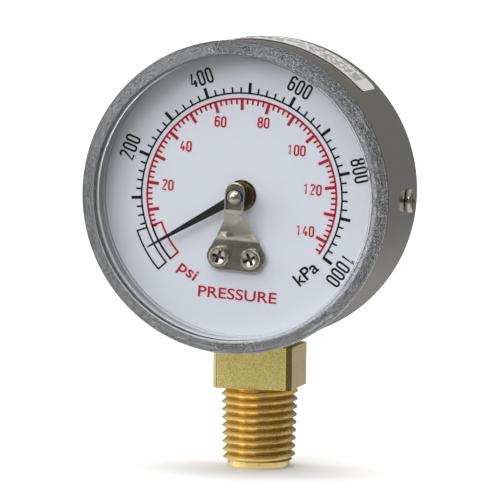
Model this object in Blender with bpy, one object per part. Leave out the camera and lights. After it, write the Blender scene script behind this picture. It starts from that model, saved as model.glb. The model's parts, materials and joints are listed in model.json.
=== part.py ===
"""Bottom-entry dial pressure gauge, 50 mm nominal size, with a 1/4 inch taper thread.

Units are metres. The origin is the centre of the stem's threaded end, +Z runs up the stem
towards the case, and the dial faces -Y. The gauge axis is parallel to Y, above the origin.
"""

import math

import bmesh
import bpy
from mathutils import Matrix, Vector

MM = 0.001

# Driving dimensions
AXIS_HEIGHT = 49.25 * MM  # gauge axis above the threaded end
CASE_RADIUS = 26.9 * MM
CASE_WALL = 0.5 * MM
CASE_FRONT = -18.6 * MM  # y of the rolled front lip
CASE_BACK = 6.6 * MM
WINDOW_RADIUS = 27.25 * MM
WINDOW_FRONT = -22.2 * MM
DIAL_FRONT = -14.5 * MM
DIAL_RADIUS = 25.4 * MM
GAP = 0.3 * MM  # left between pieces that touch
TURN = math.radians(3.5)  # the dial and movement sit this far clockwise in the case

THREAD_PITCH = 25.4 / 18 * MM
THREAD_TAPER = 1 / 32  # radius lost per length, 1:16 on the diameter
THREAD_LENGTH = 14.25 * MM
THREAD_TOP_RADIUS = 7.0 * MM
THREAD_DEPTH = 0.9 * MM
BLOCK_WIDTH = 14.29 * MM  # 9/16 inch across the flats
BLOCK_DEPTH = 12.4 * MM
BLOCK_TOP = 21.8 * MM
BLOCK_CHAMFER = 0.73 * MM
BORE_RADIUS = 1.6 * MM

PINION_TEETH = 10
SECTOR_TEETH = 100  # on a whole circle; the sector carries only those it needs
MODULE = 0.25 * MM
PINION_PITCH = PINION_TEETH * MODULE / 2
SECTOR_PITCH = SECTOR_TEETH * MODULE / 2
SECTOR_BEARING = math.radians(-58)  # from the gauge axis to the sector's arbor
TAIL_ANGLE = math.radians(-30)
TAIL_LENGTH = 5.7 * MM
LINK_LENGTH = 6.0 * MM
LINK_ANGLE = math.radians(60)

TUBE_RADIUS = 20.5 * MM
TUBE_THICK = 1.6 * MM
TUBE_WIDTH = 4.2 * MM
TUBE_WALL = 0.3 * MM
TUBE_MIDDLE = 0.5 * MM  # y of the tube's centre line
TUBE_ROOT = math.radians(259)
TUBE_TIP = math.radians(-25)

POINTER_REST = math.radians(210)
POINTER_REACH = 18.9 * MM

# y of each layer's front and back faces
FRONT_PLATE = (-11.3 * MM, -10.5 * MM)
BACK_PLATE = (-3.3 * MM, -2.5 * MM)
LINK_LAYER = (-8.6 * MM, -8.0 * MM)
SECTOR_LAYER = (-7.4 * MM, -6.6 * MM)
SOCKET = (-2.2 * MM, 3.2 * MM)
YOKE_LAYER = (3.5 * MM, 4.5 * MM)

# Places in a front view, from the gauge axis: x to the right, z up
SIDE_SCREW_Y = -2.9 * MM
SIDE_SCREW_Z = -0.9 * MM
BRIDGE_SCREWS = [(-2.8 * MM, -10.8 * MM), (2.8 * MM, -10.8 * MM)]
PILLARS = [(-6.5 * MM, 4.5 * MM), (7.5 * MM, 5.0 * MM), (-6.5 * MM, -12.3 * MM)]
SOCKET_SCREWS = [(-3.5 * MM, -17.5 * MM), (3.5 * MM, -17.5 * MM)]
YOKE_SCREWS = [(0, -16.0 * MM), (0, -20.5 * MM)]
PIN_RADIUS = 0.45 * MM
PIN_HOLE = 0.75 * MM

ROUND = 64  # sides of a large round piece
SMALL = 16  # sides of a small one


def clear_scene():
    for item in list(bpy.data.objects):
        bpy.data.objects.remove(item)


def material(name, colour, roughness, metallic, alpha=1.0):
    made = bpy.data.materials.new(name)
    made.use_nodes = True
    shader = made.node_tree.nodes["Principled BSDF"]
    shader.inputs["Base Color"].default_value = (*colour, 1.0)
    shader.inputs["Roughness"].default_value = roughness
    shader.inputs["Metallic"].default_value = metallic
    shader.inputs["Alpha"].default_value = alpha
    made.diffuse_color = (*colour, alpha)
    return made


def make_object(name, bm, surface, parent=None, smooth=False):
    """A closed bmesh made an object, with its faces turned out and round sides smooth."""
    bmesh.ops.remove_doubles(bm, verts=bm.verts, dist=1e-7)
    bmesh.ops.recalc_face_normals(bm, faces=bm.faces)
    mesh = bpy.data.meshes.new(name)
    bm.to_mesh(mesh)
    bm.free()
    if smooth:
        mesh.shade_smooth()
        mesh.set_sharp_from_angle(angle=math.radians(35))
    mesh.materials.append(surface)
    made = bpy.data.objects.new(name, mesh)
    bpy.context.collection.objects.link(made)
    made.parent = parent
    return made


def empty(name, place, parent=None, turn=0.0):
    made = bpy.data.objects.new(name, None)
    bpy.context.collection.objects.link(made)
    made.location = place
    made.rotation_euler.y = turn
    made.parent = parent
    made.empty_display_size = 2 * MM
    return made


def polar(radius, angle):
    """A point in a front view, x to the right and z up."""
    return radius * math.cos(angle), radius * math.sin(angle)


def arc(centre, radius, start, end, steps):
    """Points of a circle in a front view, from one angle to another."""
    points = []
    for step in range(steps + 1):
        x, z = polar(radius, start + (end - start) * step / steps)
        points.append((centre[0] + x, centre[1] + z))
    return points


def turned_mesh(outline, steps, axis):
    """Spins (radius, height) points round the axis, which runs along Y or Z."""
    bm = bmesh.new()
    points = [(r, h, 0) if axis.y else (r, 0, h) for r, h in outline]
    corners = [bm.verts.new(point) for point in points]
    closed = outline[0][0] > 0 or outline[-1][0] > 0
    ends = corners[1:] + corners[:1] if closed else corners[1:]
    edges = [bm.edges.new(pair) for pair in zip(corners, ends)]
    bmesh.ops.spin(
        bm,
        geom=corners + edges,
        cent=(0, 0, 0),
        axis=axis,
        angle=math.tau,
        steps=steps,
        use_merge=True,
    )
    return bm


def turned(name, outline, surface, parent=None, steps=SMALL, axis=Vector((0, 1, 0))):
    return make_object(name, turned_mesh(outline, steps, axis), surface, parent, True)


def plate(name, outline, front, back, surface, parent=None):
    """A flat outline in the front view, extruded from y = front to y = back."""
    bm = bmesh.new()
    face = bm.faces.new([bm.verts.new((x, front, z)) for x, z in outline])
    moved = bmesh.ops.extrude_face_region(bm, geom=[face])["geom"]
    risen = [item for item in moved if isinstance(item, bmesh.types.BMVert)]
    bmesh.ops.translate(bm, verts=risen, vec=(0, back - front, 0))
    return make_object(name, bm, surface, parent)


def box(name, low, high, surface=None, parent=None):
    bm = bmesh.new()
    bmesh.ops.create_cube(bm, size=1)
    size = [b - a for a, b in zip(low, high)]
    bmesh.ops.scale(bm, verts=bm.verts, vec=size)
    bmesh.ops.translate(bm, verts=bm.verts, vec=[(a + b) / 2 for a, b in zip(low, high)])
    return make_object(name, bm, surface, parent)


def rod(name, radius, start, end, parent=None, steps=SMALL):
    """A plain round bar between two points, for cutting or joining."""
    bm = bmesh.new()
    run = Vector(end) - Vector(start)
    bmesh.ops.create_cone(
        bm,
        cap_ends=True,
        segments=steps,
        radius1=radius,
        radius2=radius,
        depth=run.length,
    )
    turn = run.to_track_quat("Z", "Y").to_matrix().to_4x4()
    middle = (Vector(start) + Vector(end)) / 2
    bmesh.ops.transform(bm, matrix=Matrix.Translation(middle) @ turn, verts=bm.verts)
    return make_object(name, bm, None, parent)


def helper(item):
    """Hides a shape that only cuts or joins another."""
    item.hide_render = True
    item.display_type = "WIRE"
    return item


def boolean(target, other, operation):
    modifier = target.modifiers.new(other.name, "BOOLEAN")
    modifier.operation = operation
    modifier.object = helper(other)
    return modifier


def drill(target, name, radius, centre, front, back, parent=None, steps=SMALL):
    """A round hole along Y through a piece, at a place in the front view."""
    x, z = centre
    cutter = rod(name, radius, (x, front, z), (x, back, z), parent, steps)
    return boolean(target, cutter, "DIFFERENCE")


def surfaces():
    return {
        "case": material("plated_steel", (0.42, 0.40, 0.37), 0.22, 1.0),
        "window": material("clear_plastic", (0.86, 0.88, 0.90), 0.08, 0.0, 0.25),
        "dial": material("dial_white", (0.80, 0.81, 0.86), 0.5, 0.0),
        "label": material("printed_label", (0.82, 0.83, 0.80), 0.45, 0.0),
        "brass": material("brass", (0.72, 0.55, 0.20), 0.3, 1.0),
        "bronze": material("phosphor_bronze", (0.66, 0.42, 0.22), 0.35, 1.0),
        "nickel": material("nickel_plate", (0.62, 0.60, 0.54), 0.22, 1.0),
        "steel": material("steel", (0.55, 0.55, 0.55), 0.3, 1.0),
        "black": material("pointer_black", (0.02, 0.02, 0.022), 0.5, 0.0),
    }


def make_case(finish, axis_point):
    """A drawn cup, open at the front, with a rolled lip that holds the window's lugs."""
    lip_inner = 24.9 * MM
    corner = 1.8 * MM
    inner = CASE_RADIUS - CASE_WALL
    outer_corner = arc(
        (CASE_RADIUS - corner, CASE_BACK - corner), corner, 0, math.pi / 2, 4
    )
    inner_corner = arc(
        (CASE_RADIUS - corner, CASE_BACK - corner),
        corner - CASE_WALL,
        math.pi / 2,
        0,
        3,
    )
    lip_round = arc(
        (CASE_RADIUS - CASE_WALL, CASE_FRONT + CASE_WALL),
        CASE_WALL,
        -math.pi / 2,
        0,
        2,
    )
    outline = (
        [(0, CASE_BACK - CASE_WALL)]
        + inner_corner
        + [(inner, CASE_FRONT + CASE_WALL), (lip_inner, CASE_FRONT + CASE_WALL)]
        + [(lip_inner, CASE_FRONT)]
        + lip_round
        + outer_corner
        + [(0, CASE_BACK)]
    )
    case = turned("case", outline, finish["case"], axis_point, ROUND)
    floor = -CASE_RADIUS
    neck_hole = rod(
        "case_neck_cutter",
        4.9 * MM,
        (0, 0, floor - 2 * MM),
        (0, 0, floor + 3 * MM),
        axis_point,
        32,
    )
    boolean(case, neck_hole, "DIFFERENCE")
    hole_end = CASE_RADIUS + 2 * MM
    screw_hole = rod(
        "case_screw_cutter",
        1.3 * MM,
        (-hole_end, SIDE_SCREW_Y, SIDE_SCREW_Z),
        (hole_end, SIDE_SCREW_Y, SIDE_SCREW_Z),
        axis_point,
    )
    boolean(case, screw_hole, "DIFFERENCE")
    notch_width = 6.4 * MM
    for number, angle in enumerate((35, 125, 215, 305)):
        notch = box(
            f"lip_notch_cutter_{number}",
            (lip_inner - MM, CASE_FRONT - MM, -notch_width / 2),
            (26.0 * MM, CASE_FRONT + CASE_WALL + 0.4 * MM, notch_width / 2),
            None,
            axis_point,
        )
        notch.rotation_euler.y = -math.radians(angle)
        boolean(case, notch, "DIFFERENCE")
    return case


def make_window(finish, axis_point):
    """The clear twist-on window: flat face, thick rim, and a plug ring with four lugs."""
    face_thick = 1.5 * MM
    rim_back = CASE_FRONT - GAP
    plug_outer = 24.4 * MM
    plug_inner = 23.5 * MM
    plug_end = -16.6 * MM
    outline = [
        (0, WINDOW_FRONT),
        (24.2 * MM, WINDOW_FRONT),
        (24.9 * MM, WINDOW_FRONT + 0.6 * MM),
        (26.4 * MM, WINDOW_FRONT + 0.9 * MM),
        (27.0 * MM, WINDOW_FRONT + 1.5 * MM),
        (WINDOW_RADIUS, WINDOW_FRONT + 2.3 * MM),
        (WINDOW_RADIUS, rim_back),
        (plug_outer, rim_back),
        (plug_outer, plug_end),
        (plug_inner, plug_end),
        (plug_inner, WINDOW_FRONT + face_thick),
        (0, WINDOW_FRONT + face_thick),
    ]
    window = turned("window", outline, finish["window"], axis_point, ROUND)
    lug_front = CASE_FRONT + CASE_WALL + GAP
    for number, angle in enumerate((0, 90, 180, 270)):
        lug = box(
            f"window_lug_{number}",
            (plug_inner + 0.3 * MM, lug_front, -2.8 * MM),
            (25.9 * MM, plug_end - 0.2 * MM, 2.8 * MM),
            None,
            axis_point,
        )
        lug.rotation_euler.y = -math.radians(angle)
        boolean(window, lug, "UNION")
    return window


def make_dial(finish, turned_frame):
    """The printed plate: a flat disc with a hole for the hub and two for the bridge's screws."""
    dial_back = DIAL_FRONT + 0.4 * MM
    outline = [
        (2.7 * MM, DIAL_FRONT),
        (DIAL_RADIUS, DIAL_FRONT),
        (DIAL_RADIUS, dial_back),
        (2.7 * MM, dial_back),
    ]
    dial = turned("dial", outline, finish["dial"], turned_frame, ROUND)
    for number, place in enumerate(BRIDGE_SCREWS):
        name = f"dial_hole_cutter_{number}"
        drill(dial, name, 0.85 * MM, place, DIAL_FRONT - MM, dial_back + MM, turned_frame)
    return dial


def make_label(finish, axis_point):
    """The rating label, a thin curved strip on the case's upper right wall."""
    inner = CASE_RADIUS + 0.15 * MM
    outer = inner + 0.12 * MM
    start, end, steps = math.radians(42.5), math.radians(100), 18
    outline = arc((0, 0), inner, start, end, steps) + arc((0, 0), outer, end, start, steps)
    return plate("rating_label", outline, -8.9 * MM, 1.1 * MM, finish["label"], axis_point)


def cross_recess(screw, name, head_face, size, depth, parent):
    """Cuts a cross recess into a screw's head, which faces -Y in the screw's own frame."""
    arm = 0.17 * size
    for number in range(2):
        long, short = (size / 2, arm / 2) if number else (arm / 2, size / 2)
        cutter = box(
            f"{name}_recess_{number}",
            (-long, head_face - depth, -short),
            (long, head_face + depth, short),
            None,
            parent,
        )
        cutter.rotation_euler.y = math.radians(20)
        boolean(screw, cutter, "DIFFERENCE")


def make_screw(name, surface, place, head_radius, head_height, shank_radius, length, parent):
    """A pan-head cross-recess screw, made round its own Y axis with its head towards -Y."""
    outline = [
        (0, -head_height),
        (head_radius * 0.62, -head_height),
        (head_radius * 0.9, -head_height * 0.72),
        (head_radius, -head_height * 0.3),
        (head_radius, 0),
        (shank_radius, 0),
        (shank_radius, length),
        (0, length),
    ]
    seat = empty(f"{name}_seat", place, parent)
    screw = turned(name, outline, surface, seat, 12)
    cross_recess(screw, name, -head_height, head_radius * 1.15, head_height * 0.6, seat)
    return seat


def make_case_screws(finish, axis_point):
    for name, side in (("case_screw_left", -1), ("case_screw_right", 1)):
        seat = make_screw(
            name,
            finish["nickel"],
            (side * (CASE_RADIUS + 0.2 * MM), SIDE_SCREW_Y, SIDE_SCREW_Z),
            2.1 * MM,
            1.3 * MM,
            0.9 * MM,
            4.0 * MM,
            axis_point,
        )
        seat.rotation_euler.z = side * math.pi / 2


def make_yoke(finish, axis_point):
    """The strap that the side screws hold: a U across the case, with a tongue for the socket."""
    reach = 25.6 * MM
    thick = YOKE_LAYER[1] - YOKE_LAYER[0]
    ear_front = -6.2 * MM
    outline = [
        (-reach, ear_front),
        (-reach, YOKE_LAYER[1]),
        (reach, YOKE_LAYER[1]),
        (reach, ear_front),
        (reach - thick, ear_front),
        (reach - thick, YOKE_LAYER[0]),
        (thick - reach, YOKE_LAYER[0]),
        (thick - reach, ear_front),
    ]
    low, high = SIDE_SCREW_Z - 3.4 * MM, SIDE_SCREW_Z + 3.4 * MM
    bm = bmesh.new()
    face = bm.faces.new([bm.verts.new((x, y, low)) for x, y in outline])
    moved = bmesh.ops.extrude_face_region(bm, geom=[face])["geom"]
    risen = [item for item in moved if isinstance(item, bmesh.types.BMVert)]
    bmesh.ops.translate(bm, verts=risen, vec=(0, 0, high - low))
    yoke = make_object("case_yoke", bm, finish["steel"], axis_point)
    tongue = box(
        "yoke_tongue",
        (-4 * MM, YOKE_LAYER[0], -23 * MM),
        (4 * MM, YOKE_LAYER[1], low + MM),
        None,
        axis_point,
    )
    boolean(yoke, tongue, "UNION")
    screw_hole = rod(
        "yoke_side_cutter",
        1.2 * MM,
        (-reach - MM, SIDE_SCREW_Y, SIDE_SCREW_Z),
        (reach + MM, SIDE_SCREW_Y, SIDE_SCREW_Z),
        axis_point,
    )
    boolean(yoke, screw_hole, "DIFFERENCE")
    for number, place in enumerate(YOKE_SCREWS):
        name = f"yoke_back_cutter_{number}"
        drill(yoke, name, 1.0 * MM, place, YOKE_LAYER[0] - MM, YOKE_LAYER[1] + MM, axis_point)
    for name, place in zip(("yoke_screw_upper", "yoke_screw_lower"), YOKE_SCREWS):
        seat = make_screw(
            name,
            finish["steel"],
            (place[0], YOKE_LAYER[1] + 0.2 * MM, place[1]),
            1.5 * MM,
            1.0 * MM,
            0.7 * MM,
            2.8 * MM,
            axis_point,
        )
        seat.rotation_euler.z = math.pi


def thread_outline():
    """Half section of the threaded shank: grooves one pitch apart on a 1:16 taper."""
    grooves = 9
    lead = 0.8 * MM
    crest = 0.14 * THREAD_PITCH
    points = [(0, 0)]
    end_radius = THREAD_TOP_RADIUS - THREAD_LENGTH * THREAD_TAPER
    points.append((end_radius - THREAD_DEPTH, 0))
    for number in range(grooves):
        middle = lead + number * THREAD_PITCH
        outer = end_radius + middle * THREAD_TAPER
        points.append((outer, middle - crest))
        points.append((outer, middle + crest))
        points.append((outer - THREAD_DEPTH, middle + THREAD_PITCH / 2))
    points.append((THREAD_TOP_RADIUS - THREAD_DEPTH, THREAD_LENGTH + 0.6 * MM))
    points.append((0, THREAD_LENGTH + 0.6 * MM))
    return points


def make_stem(finish, axis_point, turned_frame):
    """One brass piece: tapered thread, wrench block, neck through the case, and socket."""
    bm = bmesh.new()
    bmesh.ops.create_cube(bm, size=1)
    height = BLOCK_TOP - THREAD_LENGTH
    bmesh.ops.scale(bm, verts=bm.verts, vec=(BLOCK_WIDTH, BLOCK_DEPTH, height))
    bmesh.ops.translate(bm, verts=bm.verts, vec=(0, 0, THREAD_LENGTH + height / 2))
    upright = [e for e in bm.edges if abs(e.verts[0].co.z - e.verts[1].co.z) > height / 2]
    bmesh.ops.bevel(bm, geom=upright, offset=BLOCK_CHAMFER, segments=1, affect="EDGES")
    stem = make_object("stem", bm, finish["brass"])
    up = Vector((0, 0, 1))
    boolean(stem, turned("stem_thread", thread_outline(), None, None, 32, up), "UNION")
    case_floor = AXIS_HEIGHT - CASE_RADIUS
    neck = rod("stem_neck", 4.5 * MM, (0, 0, BLOCK_TOP - MM), (0, 0, case_floor + 3 * MM), None, 32)
    boolean(stem, neck, "UNION")
    socket = box(
        "stem_socket",
        (-6 * MM, SOCKET[0], case_floor + 1.6 * MM),
        (6 * MM, SOCKET[1], AXIS_HEIGHT - 14 * MM),
    )
    boolean(stem, socket, "UNION")
    bore_top = AXIS_HEIGHT - 19.3 * MM
    bore = rod("stem_bore_cutter", BORE_RADIUS, (0, 0, -MM), (0, 0, bore_top), None)
    boolean(stem, bore, "DIFFERENCE")
    pocket_half = TUBE_WIDTH / 2 + 0.25 * MM
    pocket = box(
        "tube_pocket_cutter",
        (-8 * MM, TUBE_MIDDLE - pocket_half, -21.7 * MM),
        (-1.0 * MM, TUBE_MIDDLE + pocket_half, -18.3 * MM),
        None,
        axis_point,
    )
    boolean(stem, pocket, "DIFFERENCE")
    for number, place in enumerate(SOCKET_SCREWS):
        name = f"socket_hole_cutter_{number}"
        front = SOCKET[0] - MM
        drill(stem, name, 0.8 * MM, place, front, SOCKET[0] + 1.6 * MM, turned_frame)
    for number, place in enumerate(YOKE_SCREWS):
        name = f"socket_back_cutter_{number}"
        drill(stem, name, 1.0 * MM, place, SOCKET[1] - 1.4 * MM, SOCKET[1] + MM, axis_point)
    return stem


def oval(width, thick, steps):
    """(offset across, offset along the axis) points of a flattened tube's section."""
    straight = (width - thick) / 2
    points = []
    for side in (1, -1):
        for step in range(steps + 1):
            angle = math.pi * step / steps
            across = side * math.cos(angle) * thick / 2
            along = side * (straight + math.sin(angle) * thick / 2)
            points.append((across, along))
    return points


def make_bourdon_tube(finish, axis_point):
    """The C-shaped flattened tube, open at its root and closed at its tip by the tip block."""
    steps = 32
    outer = oval(TUBE_WIDTH, TUBE_THICK, 3)
    inner = oval(TUBE_WIDTH - 2 * TUBE_WALL, TUBE_THICK - 2 * TUBE_WALL, 3)
    bm = bmesh.new()
    rings = {"outer": [], "inner": []}
    for step in range(steps + 1):
        angle = TUBE_ROOT + (TUBE_TIP - TUBE_ROOT) * step / steps
        for which, section in (("outer", outer), ("inner", inner)):
            ring = []
            for across, along in section:
                x, z = polar(TUBE_RADIUS + across, angle)
                ring.append(bm.verts.new((x, TUBE_MIDDLE + along, z)))
            rings[which].append(ring)
    count = len(outer)
    for step in range(steps):
        for ring_list in rings.values():
            here, there = ring_list[step], ring_list[step + 1]
            for i in range(count):
                j = (i + 1) % count
                bm.faces.new((here[i], here[j], there[j], there[i]))
    for end in (0, -1):
        outside, inside = rings["outer"][end], rings["inner"][end]
        for i in range(count):
            j = (i + 1) % count
            bm.faces.new((outside[i], outside[j], inside[j], inside[i]))
    return make_object("bourdon_tube", bm, finish["bronze"], axis_point, True)


def sector_centre():
    return polar(PINION_PITCH + SECTOR_PITCH, SECTOR_BEARING)


def tail_pin():
    x, z = sector_centre()
    dx, dz = polar(TAIL_LENGTH, TAIL_ANGLE)
    return x + dx, z + dz


def tip_pin():
    x, z = tail_pin()
    dx, dz = polar(LINK_LENGTH, LINK_ANGLE)
    return x + dx, z + dz


def make_tip_block(finish, frame):
    """The end piece brazed on the tube's tip, with a lug that reaches forward to the link."""
    end = polar(TUBE_RADIUS, TUBE_TIP)
    pin = tip_pin()
    block = plate(
        "tube_tip_block",
        rounded_bar(end, (pin[0], pin[1]), 1.5 * MM, 1.5 * MM),
        LINK_LAYER[1] + GAP,
        -3.6 * MM,
        finish["brass"],
        frame,
    )
    angle = TUBE_TIP - math.radians(4.6)
    centre = polar(TUBE_RADIUS, angle)
    neck = box(
        "tip_neck",
        (-1.5 * MM, LINK_LAYER[1] + GAP, -1.25 * MM),
        (1.5 * MM, TUBE_MIDDLE + TUBE_WIDTH / 2, 1.25 * MM),
        None,
        frame,
    )
    neck.location = (centre[0], 0, centre[1])
    neck.rotation_euler.y = -angle
    boolean(block, neck, "UNION")
    drill(block, "tip_pin_cutter", PIN_HOLE, pin, LINK_LAYER[1] - MM, -3 * MM, frame)
    return block


def rounded_bar(start, end, start_radius, end_radius, steps=6):
    """Front-view outline of a bar with round ends, from one centre to another."""
    along = math.atan2(end[1] - start[1], end[0] - start[0])
    quarter = math.pi / 2
    near = arc(start, start_radius, along + quarter, along + 3 * quarter, steps)
    far = arc(end, end_radius, along - quarter, along + quarter, steps)
    return near + far


def make_link(finish, frame):
    pins = tip_pin(), tail_pin()
    bar = rounded_bar(*pins, 1.3 * MM, 1.3 * MM)
    link = plate("link", bar, *LINK_LAYER, finish["steel"], frame)
    for name, place, radius in zip(("tip", "tail"), pins, (PIN_HOLE, PIN_HOLE + 0.1 * MM)):
        cutter = f"link_{name}_cutter"
        drill(link, cutter, radius, place, LINK_LAYER[0] - MM, LINK_LAYER[1] + MM, frame)
    return link


def make_pin(name, surface, place, front, back, frame, radius=PIN_RADIUS):
    """A round pin with a small head in front, round its own axis."""
    outline = [
        (0, front - 0.4 * MM),
        (radius * 2, front - 0.4 * MM),
        (radius * 2, front),
        (radius, front),
        (radius, back),
        (0, back),
    ]
    pin = turned(name, outline, surface, frame, 12)
    pin.location = (place[0], 0, place[1])
    return pin


def tooth_ring(teeth, first, count, outward, inward, share):
    """Polar points of straight-flanked teeth, the first one centred on the angle `first`."""
    pitch = math.tau / teeth
    radius = teeth * MODULE / 2
    points = []
    for number in range(count):
        middle = first + number * pitch
        for side, reach, width in (
            (-1, -inward, share + 0.10),
            (-1, outward, share - 0.16),
            (1, outward, share - 0.16),
            (1, -inward, share + 0.10),
        ):
            points.append((radius + reach, middle + side * width * pitch / 2))
    return points


def make_sector(finish, frame):
    """The toothed sector with its tail, cut from one plate and turning on its arbor."""
    centre = sector_centre()
    pitch = math.tau / SECTOR_TEETH
    towards_pinion = SECTOR_BEARING + math.pi
    first = towards_pinion - 8 * pitch - pitch / 2
    teeth = tooth_ring(SECTOR_TEETH, first, 10, 0.22 * MM, 0.28 * MM, 0.42)
    last = first + 9 * pitch
    hub = 2.0 * MM
    rim = SECTOR_PITCH - 1.4 * MM
    outline = [polar(*point) for point in teeth]
    outline.append(polar(rim, last + pitch))
    outline += arc((0, 0), hub, last + math.radians(60), math.tau + TAIL_ANGLE - 0.9, 6)
    tail_end = polar(TAIL_LENGTH, TAIL_ANGLE)
    outline += arc(tail_end, 1.3 * MM, TAIL_ANGLE - math.pi / 2, TAIL_ANGLE + math.pi / 2, 6)
    outline.append(polar(hub, TAIL_ANGLE + 0.9))
    outline.append(polar(rim, first - pitch))
    sector = plate("sector_gear", outline, *SECTOR_LAYER, finish["brass"], frame)
    sector.location = (centre[0], 0, centre[1])
    for name, place in (("arbor", centre), ("pin", tail_pin())):
        cutter = f"sector_{name}_cutter"
        front, back = SECTOR_LAYER[0] - MM, SECTOR_LAYER[1] + MM
        drill(sector, cutter, PIN_HOLE, place, front, back, frame)
    make_pin("link_pin_sector", finish["steel"], tail_pin(), LINK_LAYER[0] - GAP, -6.2 * MM, frame)
    arbor = [
        (0, FRONT_PLATE[0] - 0.6 * MM),
        (PIN_RADIUS, FRONT_PLATE[0] - 0.6 * MM),
        (PIN_RADIUS, BACK_PLATE[1] + 0.2 * MM),
        (0, BACK_PLATE[1] + 0.2 * MM),
    ]
    spindle = turned("sector_arbor", arbor, finish["steel"], frame, 12)
    spindle.location = (centre[0], 0, centre[1])


def make_pinion_arbor(finish, pointer_axis):
    """The pointer's shaft, turned in one piece with its pinion and the hairspring's collet."""
    shaft = 0.4 * MM
    collet = 1.15 * MM
    outline = [
        (0, -19.1 * MM),
        (shaft, -19.1 * MM),
        (shaft, -10.0 * MM),
        (collet, -10.0 * MM),
        (collet, -8.8 * MM),
        (shaft * 1.5, -8.8 * MM),
        (shaft * 1.5, -3.8 * MM),
        (shaft, -3.8 * MM),
        (shaft, BACK_PLATE[1] + 0.2 * MM),
        (0, BACK_PLATE[1] + 0.2 * MM),
    ]
    arbor = turned("pinion_arbor", outline, finish["steel"], pointer_axis, 12)
    points = tooth_ring(PINION_TEETH, SECTOR_BEARING, PINION_TEETH, 0.22 * MM, 0.28 * MM, 0.42)
    teeth = plate(
        "pinion_teeth",
        [polar(*point) for point in points],
        SECTOR_LAYER[0] - 0.7 * MM,
        SECTOR_LAYER[1] + 0.7 * MM,
        None,
        pointer_axis,
    )
    boolean(arbor, teeth, "UNION")


def make_pointer(finish, turned_frame):
    """The hub and blade, made pointing along +X and then turned to the resting angle."""
    pointer_axis = empty("pointer_axis", (0, 0, 0), turned_frame, -(POINTER_REST + TURN))
    hub = [
        (0.65 * MM, -17.1 * MM),
        (1.05 * MM, -17.1 * MM),
        (1.05 * MM, -15.4 * MM),
        (2.38 * MM, -15.4 * MM),
        (2.38 * MM, -15.0 * MM),
        (0.65 * MM, -15.0 * MM),
    ]
    turned("pointer_hub", hub, finish["brass"], pointer_axis, 32)
    ring = 1.75 * MM
    half_root, half_tip = 0.85 * MM, 0.13 * MM
    start = math.asin(half_root / ring)
    outline = [(POINTER_REACH, -half_tip), (POINTER_REACH, half_tip)]
    outline += arc((0, 0), ring, start, math.tau - start, 16)
    blade = plate("pointer", outline, -16.3 * MM, -16.05 * MM, finish["black"], pointer_axis)
    drill(blade, "pointer_eye_cutter", 1.35 * MM, (0, 0), -18 * MM, -15 * MM, pointer_axis)
    shaft_axis = empty("pinion_axis", (0, 0, 0), turned_frame)
    make_pinion_arbor(finish, shaft_axis)


def bridge_half_width(z):
    """Half the bridge's width at a height: round top, straight neck, flare, round foot."""
    neck, foot = 1.72 * MM, 5.3 * MM
    top, neck_end, foot_line, bottom = 2.6 * MM, -3.4 * MM, -10.6 * MM, -13.3 * MM
    if z > top - neck:
        return math.sqrt(max(neck**2 - (z - top + neck) ** 2, (0.35 * MM) ** 2))
    if z > neck_end:
        return neck
    if z > foot_line:
        return neck + (foot - neck) * (neck_end - z) / (neck_end - foot_line)
    corner = foot_line - bottom
    return foot - corner + math.sqrt(max(corner**2 - (foot_line - z) ** 2, 0))


def bridge_front(z):
    """y of the bridge's front face at a height: foot on the dial, ramp, and raised arm."""
    foot, arm = DIAL_FRONT - 0.8 * MM, -19.4 * MM
    ramp_low, ramp_high = -7.35 * MM, -2.9 * MM
    share = min(max((z - ramp_low) / (ramp_high - ramp_low), 0), 1)
    return foot + (arm - foot) * share


def make_bridge(finish, turned_frame):
    """The nickel-plated front bridge that carries the pointer shaft's front bearing."""
    heights = [2.6, 2.45, 2.1, 1.6, 0.88, -1.2, -2.9, -3.4, -5.0, -7.35, -9.0, -10.6]
    heights += [-11.6, -12.4, -12.95, -13.3]
    thick = 0.5 * MM
    bm = bmesh.new()
    rows = []
    for height in heights:
        z = height * MM
        half, y = bridge_half_width(z), bridge_front(z)
        rows.append([bm.verts.new((side * half, y, z)) for side in (-1, 1)])
    faces = [
        bm.faces.new((upper[0], lower[0], lower[1], upper[1]))
        for upper, lower in zip(rows, rows[1:])
    ]
    moved = bmesh.ops.extrude_face_region(bm, geom=faces)["geom"]
    risen = [item for item in moved if isinstance(item, bmesh.types.BMVert)]
    bmesh.ops.translate(bm, verts=risen, vec=(0, thick, 0))
    bridge = make_object("front_bridge", bm, finish["nickel"], turned_frame, True)
    dome_outline = [(0, -20.35 * MM), (0.55 * MM, -20.2 * MM), (1.0 * MM, -19.85 * MM)]
    dome_outline += [(1.28 * MM, -19.3 * MM), (1.28 * MM, -19.1 * MM), (0, -19.1 * MM)]
    boolean(bridge, turned("bridge_dome", dome_outline, None, turned_frame, 24), "UNION")
    drill(bridge, "bridge_bearing_cutter", 0.65 * MM, (0, 0), -18 * MM, -19.5 * MM, turned_frame)
    for number, place in enumerate(BRIDGE_SCREWS):
        name = f"bridge_hole_cutter_{number}"
        drill(bridge, name, 0.85 * MM, place, -17 * MM, -14 * MM, turned_frame)
    for name, place in zip(("bridge_screw_left", "bridge_screw_right"), BRIDGE_SCREWS):
        seat_y = DIAL_FRONT - 1.1 * MM
        make_screw(
            name,
            finish["nickel"],
            (place[0], seat_y, place[1]),
            1.8 * MM,
            1.1 * MM,
            0.5 * MM,
            6.1 * MM,
            turned_frame,
        )


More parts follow.
